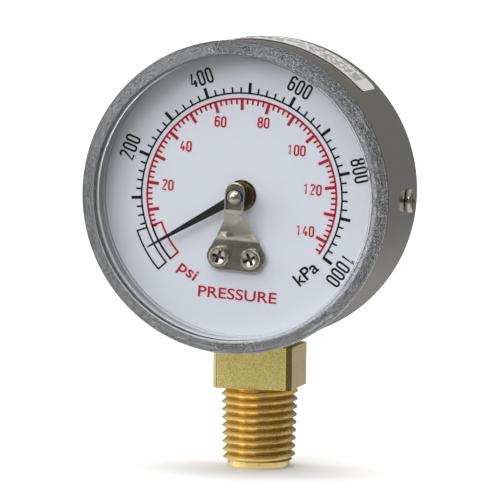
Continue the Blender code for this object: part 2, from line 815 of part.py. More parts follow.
def make_movement(finish, frame):
    """Two plates on three pillars, the dial's spacers, and the screws that hold them."""
    front_outline = [(-9, -14.8), (10, -14.8), (10, 5), (8, 7), (-7, 7), (-9, 5)]
    back_outline = [(-6, -20.2), (6, -20.2), (6, -15.5), (10, -14), (10, 5)]
    back_outline += [(8, 7), (-7, 7), (-9, 5), (-9, -14), (-6, -15.5)]
    named = (
        ("movement_front_plate", front_outline, FRONT_PLATE, BRIDGE_SCREWS, 0.75 * MM),
        ("movement_back_plate", back_outline, BACK_PLATE, SOCKET_SCREWS, 0.85 * MM),
    )
    for name, outline, faces, holes, radius in named:
        points = [(x * MM, z * MM) for x, z in outline]
        sheet = plate(name, points, *faces, finish["brass"], frame)
        wanted = [(place, radius) for place in holes]
        wanted += [((0, 0), 0.7 * MM), (sector_centre(), 0.7 * MM)]
        if name == "movement_front_plate":
            wanted += [(place, 0.8 * MM) for place in PILLARS]
        for number, (place, size) in enumerate(wanted):
            cutter = f"{name}_cutter_{number}"
            drill(sheet, cutter, size, place, faces[0] - MM, faces[1] + MM, frame, 12)
    pillar_front, pillar_back = FRONT_PLATE[1] + GAP, BACK_PLATE[0] - GAP
    for number, place in enumerate(PILLARS, 1):
        outline = [
            (0.8 * MM, pillar_front),
            (1.3 * MM, pillar_front),
            (1.3 * MM, pillar_back),
            (0, pillar_back),
            (0, pillar_front + 3 * MM),
            (0.8 * MM, pillar_front + 3 * MM),
        ]
        pillar = turned_tube(f"movement_pillar_{number}", outline, finish["brass"], frame)
        pillar.location = (place[0], 0, place[1])
        make_screw(
            f"plate_screw_{number}",
            finish["brass"],
            (place[0], FRONT_PLATE[0] - GAP, place[1]),
            1.2 * MM,
            0.8 * MM,
            0.5 * MM,
            3.2 * MM,
            frame,
        )
    for name, place in zip(("socket_screw_left", "socket_screw_right"), SOCKET_SCREWS):
        seat = (place[0], BACK_PLATE[0] - GAP, place[1])
        make_screw(name, finish["brass"], seat, 1.4 * MM, 0.9 * MM, 0.5 * MM, 2.6 * MM, frame)
    spacer_front, spacer_back = DIAL_FRONT + 0.7 * MM, FRONT_PLATE[0] - GAP
    for name, place in zip(("dial_spacer_left", "dial_spacer_right"), BRIDGE_SCREWS):
        outline = [
            (0.8 * MM, spacer_front),
            (1.4 * MM, spacer_front),
            (1.4 * MM, spacer_back),
            (0.8 * MM, spacer_back),
        ]
        spacer = turned(name, outline, finish["brass"], frame)
        spacer.location = (place[0], 0, place[1])


def turned_tube(name, outline, surface, parent):
    """A turned piece whose outline closes away from the axis at one end only."""
    bm = bmesh.new()
    loop = [bm.verts.new((r, h, 0)) for r, h in outline]
    edges = [bm.edges.new(pair) for pair in zip(loop, loop[1:] + loop[:1])]
    on_axis = [e for e in edges if max(v.co.x for v in e.verts) < 1e-9]
    bmesh.ops.delete(bm, geom=on_axis, context="EDGES")
    kept = [e for e in bm.edges]
    bmesh.ops.spin(
        bm,
        geom=kept + list(bm.verts),
        cent=(0, 0, 0),
        axis=(0, 1, 0),
        angle=math.tau,
        steps=SMALL,
        use_merge=True,
    )
    return make_object(name, bm, surface, parent)


def make_hairspring(finish, frame):
    """A flat spiral ribbon round the shaft, pinned at its outer end to a stud."""
    turns, per_turn = 4, 16
    inner, outer = 1.6 * MM, 4.6 * MM
    half_thick = 0.08 * MM
    front, back = -9.65 * MM, -9.15 * MM
    bm = bmesh.new()
    sections = []
    for step in range(turns * per_turn + 1):
        angle = math.tau * step / per_turn
        radius = inner + (outer - inner) * step / (turns * per_turn)
        corners = ((-1, front), (1, front), (1, back), (-1, back))
        section = []
        for side, y in corners:
            x, z = polar(radius + side * half_thick, angle)
            section.append(bm.verts.new((x, y, z)))
        sections.append(section)
    for here, there in zip(sections, sections[1:]):
        for i in range(4):
            j = (i + 1) % 4
            bm.faces.new((here[i], here[j], there[j], there[i]))
    bm.faces.new(sections[0])
    bm.faces.new(sections[-1])
    make_object("hairspring", bm, finish["bronze"], frame, True)
    stud = rod(
        "hairspring_stud",
        0.5 * MM,
        (outer + 0.9 * MM, FRONT_PLATE[1] + GAP, 0),
        (outer + 0.9 * MM, back + 0.4 * MM, 0),
        frame,
        12,
    )
    stud.data.materials.clear()
    stud.data.materials.append(finish["brass"])


def main():
    clear_scene()
    finish = surfaces()
    axis_point = empty("gauge_axis", (0, 0, AXIS_HEIGHT))
    turned_frame = empty("movement_frame", (0, 0, 0), axis_point, TURN)
    make_case(finish, axis_point)
    make_window(finish, axis_point)
    make_dial(finish, turned_frame)
    make_label(finish, axis_point)
    make_case_screws(finish, axis_point)
    make_yoke(finish, axis_point)
    make_stem(finish, axis_point, turned_frame)
    make_bourdon_tube(finish, axis_point)
    make_bridge(finish, turned_frame)
    make_movement(finish, turned_frame)
    make_hairspring(finish, turned_frame)
    make_sector(finish, turned_frame)
    make_tip_block(finish, turned_frame)
    make_pin(
        "link_pin_tip",
        finish["steel"],
        tip_pin(),
        LINK_LAYER[0] - GAP,
        -4.6 * MM,
        turned_frame,
    )
    make_link(finish, turned_frame)
    make_pointer(finish, turned_frame)


main()
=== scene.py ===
"""The finished look of a dial pressure gauge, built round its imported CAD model.

Metres, +Z up. The dial faces -Y and the stem stands on its threaded end at z 0.
"""

import json
import math
import random

import bmesh
import bpy
from mathutils import Matrix, Vector

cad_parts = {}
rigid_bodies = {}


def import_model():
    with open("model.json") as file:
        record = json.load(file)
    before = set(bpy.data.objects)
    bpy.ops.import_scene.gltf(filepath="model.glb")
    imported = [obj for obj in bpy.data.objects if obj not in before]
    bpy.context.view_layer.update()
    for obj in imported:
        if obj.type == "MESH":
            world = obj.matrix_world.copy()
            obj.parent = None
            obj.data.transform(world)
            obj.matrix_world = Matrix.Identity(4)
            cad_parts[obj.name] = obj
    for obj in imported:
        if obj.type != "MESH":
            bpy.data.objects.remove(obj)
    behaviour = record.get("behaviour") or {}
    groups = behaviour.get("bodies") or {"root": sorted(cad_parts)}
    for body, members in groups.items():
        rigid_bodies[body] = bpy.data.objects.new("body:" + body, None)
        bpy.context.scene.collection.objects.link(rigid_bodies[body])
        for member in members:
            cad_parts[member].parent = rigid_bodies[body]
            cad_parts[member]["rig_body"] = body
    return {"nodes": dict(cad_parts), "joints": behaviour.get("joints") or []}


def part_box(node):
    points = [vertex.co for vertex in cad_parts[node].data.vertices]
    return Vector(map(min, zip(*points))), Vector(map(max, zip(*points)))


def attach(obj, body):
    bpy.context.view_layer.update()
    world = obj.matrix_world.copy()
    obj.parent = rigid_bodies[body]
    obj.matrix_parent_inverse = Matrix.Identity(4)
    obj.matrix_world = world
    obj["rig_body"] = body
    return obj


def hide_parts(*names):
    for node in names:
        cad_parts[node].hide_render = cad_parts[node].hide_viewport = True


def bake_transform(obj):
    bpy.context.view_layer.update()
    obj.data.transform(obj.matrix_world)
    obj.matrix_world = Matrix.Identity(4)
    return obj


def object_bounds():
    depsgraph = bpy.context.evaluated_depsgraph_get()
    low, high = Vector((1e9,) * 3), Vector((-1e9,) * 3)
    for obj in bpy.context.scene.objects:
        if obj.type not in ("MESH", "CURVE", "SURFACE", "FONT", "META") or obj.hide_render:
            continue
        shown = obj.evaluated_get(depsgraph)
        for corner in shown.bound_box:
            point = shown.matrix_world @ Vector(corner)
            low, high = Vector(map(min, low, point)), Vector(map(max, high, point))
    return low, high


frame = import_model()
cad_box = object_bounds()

MM = 0.001
JOINT_PLACES = {joint["name"]: Vector(joint["pos_m"]) for joint in frame["joints"]}
AXIS = Vector((0, 0, JOINT_PLACES["pointer_turn"].z))  # a point on the gauge axis
TURN = math.radians(3.5)  # the dial and movement sit this far clockwise in the case


def low(node):
    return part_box(node)[0]


def high(node):
    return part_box(node)[1]


CASE_RADIUS = high("case").x
CASE_FRONT = low("case").y
CASE_BACK = high("case").y
CASE_WALL = 0.5 * MM
LIP_INNER = CASE_RADIUS - 2.0 * MM
CORNER = 1.8 * MM
WINDOW_RADIUS = high("window").x
WINDOW_FRONT = low("window").y
PANE_RADIUS = WINDOW_RADIUS - 2.4 * MM
LIP_RING_THICKNESS = 0.6 * MM
SKIRT_INNER = WINDOW_RADIUS - 2.95 * MM
SKIRT_OUTER = WINDOW_RADIUS - 2.5 * MM
DIAL_FRONT = low("dial").y
DIAL_BACK = high("dial").y
DIAL_RADIUS = high("dial").z - AXIS.z
BRIDGE_SCREW_PLACES = [(side * 2.8 * MM, -10.8 * MM) for side in (-1, 1)]
SIDE_SCREW = (low("case_screw_right") + high("case_screw_right")) / 2
LABEL_RADIUS = CASE_RADIUS + 0.15 * MM
LABEL_ENDS = (math.radians(42.5), math.radians(100))

THREAD_PITCH = 25.4 / 18 * MM
THREAD_TOP = 14.25 * MM  # height where the thread meets the wrench block
THREAD_TOP_RADIUS = 6.85 * MM
THREAD_END_RADIUS = THREAD_TOP_RADIUS - THREAD_TOP / 32
THREAD_DEPTH = 0.78 * MM
BLOCK_CORNER = 12.42 * MM  # |x| + |y| where the wrench block's corner chamfers begin
BORE_RADIUS = 1.6 * MM

NECK_HOLE = 4.9 * MM  # radius, in the case wall round the stem
SIDE_SCREW_HOLE = 1.3 * MM
HUB_HOLE = 2.7 * MM  # radius, in the dial round the pointer's shaft
BRIDGE_SCREW_HOLE = 0.85 * MM
NOTCH_INNER, NOTCH_OUTER, NOTCH_HALF = 23.0 * MM, 26.0 * MM, 3.2 * MM  # in the case lip
NOTCH_ANGLES = (35, 125, 215, 305)

MERGE = 0.001 * MM  # points nearer than this are one
CAD_MERGE = 0.0015 * MM
ROUND = 192  # sides of the case, window and dial
SMALL = 48  # sides of a screw or a hub


# Bench tools


def clear_hands():
    """Nothing selected, and no piece open for editing."""
    if bpy.context.object and bpy.context.object.mode != "OBJECT":
        bpy.ops.object.mode_set(mode="OBJECT")
    bpy.ops.object.select_all(action="DESELECT")


def take(*pieces):
    """Selects only these pieces, the first one active."""
    clear_hands()
    for piece in pieces:
        piece.select_set(True)
    bpy.context.view_layer.objects.active = pieces[0]
    return pieces[0]


def open_up(piece):
    """Edit mode, with the whole mesh selected."""
    take(piece)
    bpy.ops.object.mode_set(mode="EDIT")
    bpy.ops.mesh.select_mode(type="VERT")
    bpy.ops.mesh.select_all(action="SELECT")


def seal(piece):
    """Merges what coincides, turns every face outwards and leaves edit mode."""
    bpy.ops.mesh.select_all(action="SELECT")
    bpy.ops.mesh.remove_doubles(threshold=MERGE)
    bpy.ops.mesh.normals_make_consistent(inside=False)
    bpy.ops.object.mode_set(mode="OBJECT")
    return piece


def pick(piece, kind, wanted):
    """Selects in edit mode the verts, edges or faces that the test wants."""
    bpy.ops.mesh.select_mode(type={"verts": "VERT", "edges": "EDGE", "faces": "FACE"}[kind])
    bpy.ops.mesh.select_all(action="DESELECT")
    mesh = bmesh.from_edit_mesh(piece.data)
    for element in getattr(mesh, kind):
        if wanted(element):
            element.select_set(True)
    mesh.select_flush_mode()
    bmesh.update_edit_mesh(piece.data)


def drawn(points):
    """A line drawn by extruding one vertex from point to point, left in edit mode."""
    clear_hands()
    bpy.ops.mesh.primitive_plane_add(size=MM)
    open_up(bpy.context.object)
    bpy.ops.mesh.merge(type="CENTER")
    points = [Vector(point) for point in points]
    bpy.ops.transform.translate(value=points[0])
    for here, there in zip(points, points[1:]):
        bpy.ops.mesh.extrude_vertices_move(TRANSFORM_OT_translate={"value": there - here})
    bpy.ops.mesh.select_all(action="SELECT")
    return bpy.context.object


def lathe(outline, steps=ROUND, start=0.0, sweep=math.tau):
    """Spins (radius, y) points round the Y axis, through angles in a front view."""
    side = Matrix.Rotation(-start, 3, "Y")
    piece = drawn([side @ Vector((radius, along, 0)) for radius, along in outline])
    bpy.ops.mesh.spin(steps=steps, angle=sweep, center=(0, 0, 0), axis=(0, 1, 0))
    return seal(piece)


def block(corner, opposite):
    """A box between two corners."""
    corner, opposite = Vector(corner), Vector(opposite)
    clear_hands()
    bpy.ops.mesh.primitive_cube_add(
        size=1, location=(corner + opposite) / 2, scale=opposite - corner
    )
    bpy.ops.object.transform_apply()
    return bpy.context.object


def rod(radius, start, end, sides=SMALL):
    """A round bar from one point to another."""
    start, end = Vector(start), Vector(end)
    clear_hands()
    bpy.ops.mesh.primitive_cone_add(
        vertices=sides,
        radius1=radius,
        radius2=radius,
        depth=(end - start).length,
        location=(start + end) / 2,
        rotation=(end - start).to_track_quat("Z", "Y").to_euler(),
    )
    bpy.ops.object.transform_apply()
    return bpy.context.object


def prism(outline, push):
    """A flat closed outline, pushed out into a solid."""
    piece = drawn([*outline, outline[0]])
    bpy.ops.mesh.remove_doubles(threshold=MERGE)
    bpy.ops.mesh.select_all(action="SELECT")
    bpy.ops.mesh.edge_face_add()
    bpy.ops.mesh.extrude_region_move(TRANSFORM_OT_translate={"value": push})
    return seal(piece)


def put(piece, place=(0, 0, 0), turn=(0, 0, 0)):
    """Moves and turns a piece about its origin, and leaves its place in its mesh."""
    take(piece)
    piece.location = place
    piece.rotation_euler = turn
    bpy.ops.object.transform_apply()
    return piece


def copied(piece):
    """A copy with its own mesh."""
    take(piece)
    bpy.ops.object.duplicate()
    return bpy.context.object


def joined(pieces):
    piece = take(*pieces)
    if len(pieces) > 1:
        bpy.ops.object.join()
    bpy.ops.object.transform_apply()
    return piece


def cut(piece, tool, operation="DIFFERENCE"):
    """Cuts the tool away from a piece, or adds it, and removes the tool."""
    take(piece)
    bite = piece.modifiers.new("bite", "BOOLEAN")
    bite.operation, bite.object, bite.solver = operation, tool, "EXACT"
    bpy.ops.object.modifier_apply(modifier=bite.name)
    bpy.data.objects.remove(tool)
    return piece


def soften(piece, width, segments=2, angle=40):
    """Rounds every edge sharper than the angle, in degrees."""
    take(piece)
    edge = piece.modifiers.new("edge", "BEVEL")
    edge.width, edge.segments, edge.limit_method = width, segments, "ANGLE"
    edge.angle_limit = math.radians(angle)
    edge.use_clamp_overlap = True
    bpy.ops.object.modifier_apply(modifier=edge.name)
    return piece


def smooth(piece, angle=35):
    """Smooth shading that leaves wide flat faces flat."""
    take(piece)
    bpy.ops.object.shade_smooth_by_angle(angle=math.radians(angle))
    flat = piece.modifiers.new("flat", "WEIGHTED_NORMAL")
    flat.keep_sharp = True
    bpy.ops.object.modifier_apply(modifier=flat.name)
    return piece


def deliver(piece, name, body, finish, replaced=()):
    """Names a finished piece, paints it and hands it to the body that carries it, if any."""
    piece.name = piece.data.name = name
    piece.data.materials.clear()
    piece.data.materials.append(finish)
    if replaced:
        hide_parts(*replaced)
    if body:
        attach(piece, body)
    return piece


def front_point(radius, angle):
    """(x, z) in a front view, angles counted from +X towards +Z."""
    return radius * math.cos(angle), radius * math.sin(angle)


def bow(centre, radii, start, end, steps):
    """Points of an ellipse's arc in a front view, angles in degrees."""
    points = []
    for step in range(steps + 1):
        angle = math.radians(start + (end - start) * step / steps)
        x = centre[0] + radii[0] * math.cos(angle)
        points.append((x, centre[1] + radii[1] * math.sin(angle)))
    return points


# Finishes


class Signal:
    """One number, colour or direction inside a finish, so that its maths reads as sums."""

    def __init__(self, finish, socket):
        self.finish = finish
        self.socket = socket

    def __add__(self, other):
        return self.finish.maths("ADD", self, other)

    def __sub__(self, other):
        return self.finish.maths("SUBTRACT", self, other)

    def __mul__(self, other):
        return self.finish.maths("MULTIPLY", self, other)

    def __radd__(self, other):
        return self.finish.maths("ADD", other, self)

    def __rsub__(self, other):
        return self.finish.maths("SUBTRACT", other, self)

    def __rmul__(self, other):
        return self.finish.maths("MULTIPLY", other, self)


class Finish:
    """One material, built node by node."""

    def __init__(self, name, room=None):
        self.material = room or bpy.data.materials.new(name)
        self.material.use_nodes = True
        self.tree = self.material.node_tree
        self.tree.nodes.clear()

    def maths(self, operation, *values):
        return self.node("Math", {"operation": operation}, dict(enumerate(values)))

    def node(self, kind, settings=None, inputs=None, output=0):
        """Adds a shader node, with its settings first and then its sockets."""
        made = self.tree.nodes.new("ShaderNode" + kind)
        for key, value in (settings or {}).items():
            if key == "stops":
                self.set_stops(made.color_ramp, value)
            else:
                setattr(made, key, value)
        for key, value in (inputs or {}).items():
            if isinstance(value, Signal):
                self.tree.links.new(value.socket, made.inputs[key])
            else:
                made.inputs[key].default_value = value
        return Signal(self, made.outputs[output]) if len(made.outputs) else None

    @staticmethod
    def set_stops(ramp, stops):
        while len(ramp.elements) < len(stops):
            ramp.elements.new(1.0)
        for element, (place, colour) in zip(ramp.elements, stops):
            element.position = place
            element.color = (*colour, 1)

    def point(self, centre=(0, 0, 0), scale=(1, 1, 1)):
        """Place on the piece in metres, measured from a centre."""
        spot = self.node("TexCoord", output="Object")
        settings = {"vector_type": "TEXTURE"}
        stretch = {"Vector": spot, "Location": centre, "Scale": scale}
        return self.node("Mapping", settings, stretch)

    def noise(self, size, detail, rough=0.55, point=None):
        """Soft noise from 0 to 1, whose patches are about this size in metres."""
        inputs = {"Vector": point or self.point(), "Scale": 1 / size}
        inputs.update({"Detail": detail, "Roughness": rough})
        return self.node("TexNoise", None, inputs)

    def step(self, value, start, end):
        """Rises smoothly from 0 at start to 1 at end."""
        inputs = {"Value": value, "From Min": start, "From Max": end}
        return self.node("MapRange", {"interpolation_type": "SMOOTHSTEP"}, inputs)

    def blend(self, share, first, second):
        """Mixes two colours, each a Signal or red, green and blue."""
        colours = [c if isinstance(c, Signal) else (*c, 1) for c in (first, second)]
        inputs = {0: share, 6: colours[0], 7: colours[1]}
        return self.node("Mix", {"data_type": "RGBA"}, inputs, output=2)

    def parts(self, vector):
        """The x, y and z of a vector."""
        made = self.node("SeparateXYZ", None, {0: vector})
        sockets = made.socket.node.outputs
        return [Signal(self, socket) for socket in sockets]

    def length(self, vector):
        return self.node("VectorMath", {"operation": "LENGTH"}, {0: vector}, output="Value")

    def bump(self, height, depth, strength=1.0):
        """Relief of this depth in metres."""
        inputs = {"Height": height, "Distance": depth, "Strength": strength}
        return self.node("Bump", None, inputs)

    def surface(self, shader=None, **inputs):
        """Ends the finish with a Principled shader, or with the one given."""
        if shader is None:
            named = {key.replace("_", " "): value for key, value in inputs.items()}
            shader = self.node("BsdfPrincipled", None, named)
        self.node("OutputMaterial", None, {"Surface": shader})
        return self.material


def metal(name, light, dark, shine, cloud_size=2.2 * MM):
    """Bare or plated metal: cloudy colour, a fine grain, handling marks, and recesses darkened as
    painted shade.
    """
    finish = Finish(name)
    cloud = finish.step(finish.noise(cloud_size, 4), 0.25, 0.75)
    fine = finish.noise(0.05 * MM, 2)
    marks = finish.step(finish.noise(0.7 * MM, 5, 0.7), 0.52, 0.68)
    # Recesses and slots are darkened by an occlusion mask: painted shade.
    open_air = finish.node(
        "AmbientOcclusion", {"samples": 8, "only_local": True}, {"Distance": 0.8 * MM}, "AO"
    )
    painted_recess_shade = finish.step(open_air, 0.85, 0.35)
    metal_colour = finish.blend(cloud * 0.6 + fine * 0.4, dark, light)
    colour = finish.blend(painted_recess_shade * 0.9, metal_colour, (0.03, 0.028, 0.024))
    roughness = shine + fine * 0.1 + marks * 0.08
    return finish.surface(
        Base_Color=colour,
        Metallic=1.0,
        Roughness=roughness,
        Normal=finish.bump(fine, 0.002 * MM),
    )


def turned_brass():
    """Machined brass with scuffs on the wrench flats; its light and shade are painted: bright
    crests and brown thread roots, a bright line by each corner chamfer, chamfers paler on the left
    than on the right, and a paler right face.
    """
    finish = Finish("machined_brass")
    spot = finish.point()
    x, y, z = finish.parts(spot)
    flat_point = finish.node("CombineXYZ", None, {0: x, 1: y, 2: 0.0})
    radius = finish.length(flat_point)
    cone = radius - z * (1 / 32)
    ridge = finish.step(cone, THREAD_END_RADIUS - THREAD_DEPTH, THREAD_END_RADIUS)
    # Crests and the thread's end are painted brighter and roots darker: painted highlight and
    # painted shade.
    crest_light_root_shade = finish.maths("MAXIMUM", ridge, finish.step(z, 1.3 * MM, 1.0 * MM))
    across = finish.maths("ABSOLUTE", x) + finish.maths("ABSOLUTE", y)
    chamfer = finish.step(across, BLOCK_CORNER - 0.04 * MM, BLOCK_CORNER + 0.04 * MM)
    on_thread = finish.step(z, THREAD_TOP + 0.1 * MM, THREAD_TOP - 0.1 * MM)
    cloud = finish.noise(3.0 * MM, 3)
    grain = finish.noise(0.22 * MM, 4, 0.7, finish.point(scale=(1, 1, 1.6)))
    polished = finish.maths("MAXIMUM", on_thread, chamfer)
    scuff = finish.step(finish.noise(0.9 * MM, 6, 0.75), 0.56, 0.7)
    flats = finish.blend(
        cloud * 0.3 + finish.step(grain, 0.3, 0.7) * 0.7, (0.46, 0.36, 0.09), (0.98, 0.84, 0.32)
    )
    # The block's right face is tinted paler: a painted reflection.
    flats = finish.blend(finish.step(x, 7.0 * MM, 7.1 * MM) * 0.6, flats, (0.80, 0.62, 0.46))
    thread = finish.blend(crest_light_root_shade, (0.66, 0.40, 0.08), (1.0, 0.79, 0.32))
    colour = finish.blend(on_thread, flats, thread)
    worn = finish.blend(scuff * 0.4, colour, (0.28, 0.19, 0.07))
    # A thin bright line just inside each corner chamfer: a painted highlight.
    edge = finish.step(across, BLOCK_CORNER - 0.2 * MM, BLOCK_CORNER - 0.08 * MM) * 0.8
    # Chamfers are paler on the left and darker on the right: painted light and painted shade.
    chamfer_lit_left_shaded_right = finish.blend(finish.step(x, 0, -MM), (0.62, 0.43, 0.12), (1.0, 0.92, 0.55))
    colour = finish.blend(chamfer, finish.blend(edge, worn, (1.0, 0.88, 0.36)), chamfer_lit_left_shaded_right)
    roughness = 0.34 + grain * 0.16 + scuff * 0.15 - polished * 0.18
    relief = finish.bump(grain + scuff * 0.5, 0.012 * MM, 0.7)
    metallic = 0.45 + on_thread * 0.4 + chamfer * 0.5
    return finish.surface(Base_Color=colour, Metallic=metallic, Roughness=roughness, Normal=relief)


def plated_steel():
    """Polished plate, with faint draw marks round the case and a few hazy patches."""
    finish = Finish("polished_plate")
    draw_marks = finish.noise(0.25 * MM, 3, point=finish.point(AXIS, scale=(6, 0.5, 6)))
    haze = finish.noise(7 * MM, 3)
    colour = finish.blend(haze, (0.44, 0.42, 0.38), (0.56, 0.54, 0.51))
    roughness = 0.07 + haze * 0.06 + draw_marks * 0.03
    relief = finish.bump(draw_marks, 0.0008 * MM)
    return finish.surface(Base_Color=colour, Metallic=1.0, Roughness=roughness, Normal=relief)


def enamel(name, light, dark, roughness):
    """Baked paint with a soft mottle and a faint orange-peel."""
    finish = Finish(name)
    cloud = finish.noise(6 * MM, 3)
    fine = finish.noise(0.12 * MM, 2)
    colour = finish.blend(cloud * 0.7 + fine * 0.3, dark, light)
    return finish.surface(
        Base_Color=colour,
        Roughness=roughness + fine * 0.1,
        Normal=finish.bump(fine, 0.002 * MM, 0.5),
    )


def ink(name, colour, thin):
    """Printing ink, a little thinner in places."""
    finish = Finish(name)
    cover = finish.noise(0.25 * MM, 4, 0.7)
    shade = finish.blend(finish.step(cover, 0.3, 0.7), thin, colour)
    named = {"Base Color": shade, "Roughness": 0.5 + cover * 0.15, "Specular IOR Level": 0.15}
    return finish.surface(finish.node("BsdfPrincipled", None, named))


def label_paper():
    """Silvery label stock, with a fine fleck."""
    finish = Finish("label_stock")
    fleck = finish.noise(0.22 * MM, 3, 0.7)
    colour = finish.blend(finish.step(fleck, 0.35, 0.65), (0.40, 0.40, 0.39), (0.58, 0.58, 0.56))
    return finish.surface(
        Base_Color=colour, Roughness=0.42 + fleck * 0.2, Normal=finish.bump(fleck, 0.004 * MM)
    )


def black_paint():
    """Matt black, rubbed a little paler in patches."""
    finish = Finish("pointer_black")
    rub = finish.noise(0.5 * MM, 4, 0.7)
    worn = finish.step(rub, 0.45, 0.75)
    named = {
        "Base Color": finish.blend(worn, (0.003, 0.003, 0.003), (0.02, 0.02, 0.019)),
        "Roughness": 0.42 + rub * 0.2,
        "Specular IOR Level": 0.25,
        "Normal": finish.bump(rub, 0.006 * MM),
    }
    return finish.surface(finish.node("BsdfPrincipled", None, named))


def rubber():
    """Black rubber with a faint bloom, for the seals and the painted-shade ring on the case lip.
    """
    finish = Finish("black_rubber")
    bloom = finish.noise(0.8 * MM, 4, 0.65)
    colour = finish.blend(bloom, (0.004, 0.004, 0.004), (0.02, 0.02, 0.021))
    return finish.surface(
        Base_Color=colour, Roughness=0.55 + bloom * 0.2, Normal=finish.bump(bloom, 0.01 * MM)
    )


def clear_plastic():
    """Clear moulding: a polished pane, and a rim whose moulded grain is rough and mottled."""
    finish = Finish("clear_plastic")
    x, _, z = finish.parts(finish.point(AXIS))
    radius = finish.length(finish.node("CombineXYZ", None, {0: x, 1: 0.0, 2: z}))
    rim = finish.step(radius, PANE_RADIUS - 0.1 * MM, PANE_RADIUS + 0.1 * MM)
    rim = rim * finish.step(radius, WINDOW_RADIUS - 0.2 * MM, WINDOW_RADIUS - 0.6 * MM)
    grain = finish.noise(0.26 * MM, 3, 0.65)
    mottle = finish.noise(1.6 * MM, 3, 0.6)
    tint = finish.blend(rim * mottle, (0.98, 0.99, 0.99), (0.72, 0.74, 0.75))
    relief = finish.bump(grain, 0.10 * MM, rim * 0.6)
    plastic = finish.node(
        "BsdfPrincipled",
        None,
        {
            "Base Color": tint,
            "Roughness": rim * (0.10 + grain * 0.22),
            "IOR": 1.49,
            "Transmission Weight": 1.0,
            "Normal": relief,
        },
    )
    speck = finish.step(grain, 0.44, 0.58)
    frost = finish.node(
        "BsdfPrincipled",
        None,
        {
            "Base Color": finish.blend(speck, (0.012, 0.013, 0.014), (0.46, 0.475, 0.49)),
            "Roughness": 0.25 + mottle * 0.25,
            "Normal": relief,
        },
    )
    share = rim * (0.1 + mottle * 0.5)
    moulding = finish.node("MixShader", None, {0: share, 1: plastic, 2: frost})
    lit = finish.node("BsdfTransparent", None, {"Color": (0.97, 0.98, 1.0, 1)})
    to_lamp = finish.node("LightPath", output="Is Shadow Ray")
    return finish.surface(finish.node("MixShader", None, {0: to_lamp, 1: moulding, 2: lit}))


def paint_shop():
    """Every finish used on the gauge."""
    return {
        "plated_steel": plated_steel(),
        "clear_plastic": clear_plastic(),
        "dial_white": enamel("dial_enamel", (0.735, 0.75, 0.80), (0.70, 0.713, 0.773), 0.42),
        "label_stock": label_paper(),
        "stem_brass": turned_brass(),
        "brass": metal("movement_brass", (0.80, 0.58, 0.22), (0.55, 0.36, 0.10), 0.2),
        # The hub's brass is coloured very dark and mottled: painted shade, for the shade under the
        # bridge.
        "hub_brass": metal(
            "tarnished_brass", (0.46, 0.28, 0.06), (0.03, 0.02, 0.008), 0.22, 0.9 * MM
        ),
        "rubber": rubber(),
        "bronze": metal("spring_bronze", (0.74, 0.46, 0.26), (0.50, 0.27, 0.13), 0.25),
        "nickel": metal("nickel_plate", (0.78, 0.74, 0.66), (0.50, 0.47, 0.40), 0.12),
        "steel": metal("plain_steel", (0.58, 0.58, 0.58), (0.36, 0.36, 0.36), 0.25),
        "pointer_black": black_paint(),
        "black_ink": ink("black_ink", (0.001, 0.001, 0.001), (0.004, 0.004, 0.004)),
        "red_ink": ink("red_ink", (0.44, 0.003, 0.020), (0.50, 0.014, 0.040)),
        "grey_ink": ink("grey_ink", (0.02, 0.02, 0.02), (0.06, 0.06, 0.06)),
    }


# Case, window and dial


def case_outline():
    """(radius, y) of the pressed case, from the lip round the outside and back inside."""
    points = [(LIP_INNER, CASE_FRONT + CASE_WALL), (LIP_INNER, CASE_FRONT)]
    edge = 0.25 * MM
    for x, y in bow((CASE_RADIUS - edge, CASE_FRONT + edge), (edge, edge), -90, 0, 4):
        points.append((x, y))
    wall_rings = 6
    for ring in range(1, wall_rings):
        share = ring / wall_rings
        points.append((CASE_RADIUS, CASE_FRONT + (CASE_BACK - CORNER - CASE_FRONT) * share))
    points += bow((CASE_RADIUS - CORNER, CASE_BACK - CORNER), (CORNER, CORNER), 0, 90, 8)
    points += [(0.6 * CASE_RADIUS, CASE_BACK), (0, CASE_BACK), (0, CASE_BACK - CASE_WALL)]
    inner = CORNER - CASE_WALL
    points += bow((CASE_RADIUS - CORNER, CASE_BACK - CORNER), (inner, inner), 90, 0, 8)
    points.append((CASE_RADIUS - CASE_WALL, CASE_FRONT + CASE_WALL))
    points.append(points[0])
    return points


def make_case(finishes):
    """Drawn steel cup with a rolled-in lip, a neck hole below and a screw hole each side."""
    case = put(lathe(case_outline()), AXIS)
    floor = AXIS.z - CASE_RADIUS
    cut(case, rod(NECK_HOLE, (0, 0, floor - 2 * MM), (0, 0, floor + 3 * MM)))
    for side in (-1, 1):
        start = (side * (CASE_RADIUS - 3 * MM), SIDE_SCREW.y, SIDE_SCREW.z)
        end = (side * (CASE_RADIUS + 3 * MM), SIDE_SCREW.y, SIDE_SCREW.z)
        cut(case, rod(SIDE_SCREW_HOLE, start, end, 32))
    for angle in NOTCH_ANGLES:
        notch = block(
            (NOTCH_INNER, CASE_FRONT - MM, -NOTCH_HALF),
            (NOTCH_OUTER, CASE_FRONT + CASE_WALL + 0.4 * MM, NOTCH_HALF),
        )
        cut(case, put(notch, AXIS, (0, -math.radians(angle), 0)))
    smooth(case, 30)
    deliver(case, "case_shell", "gauge_body", finishes["plated_steel"], ["case"])


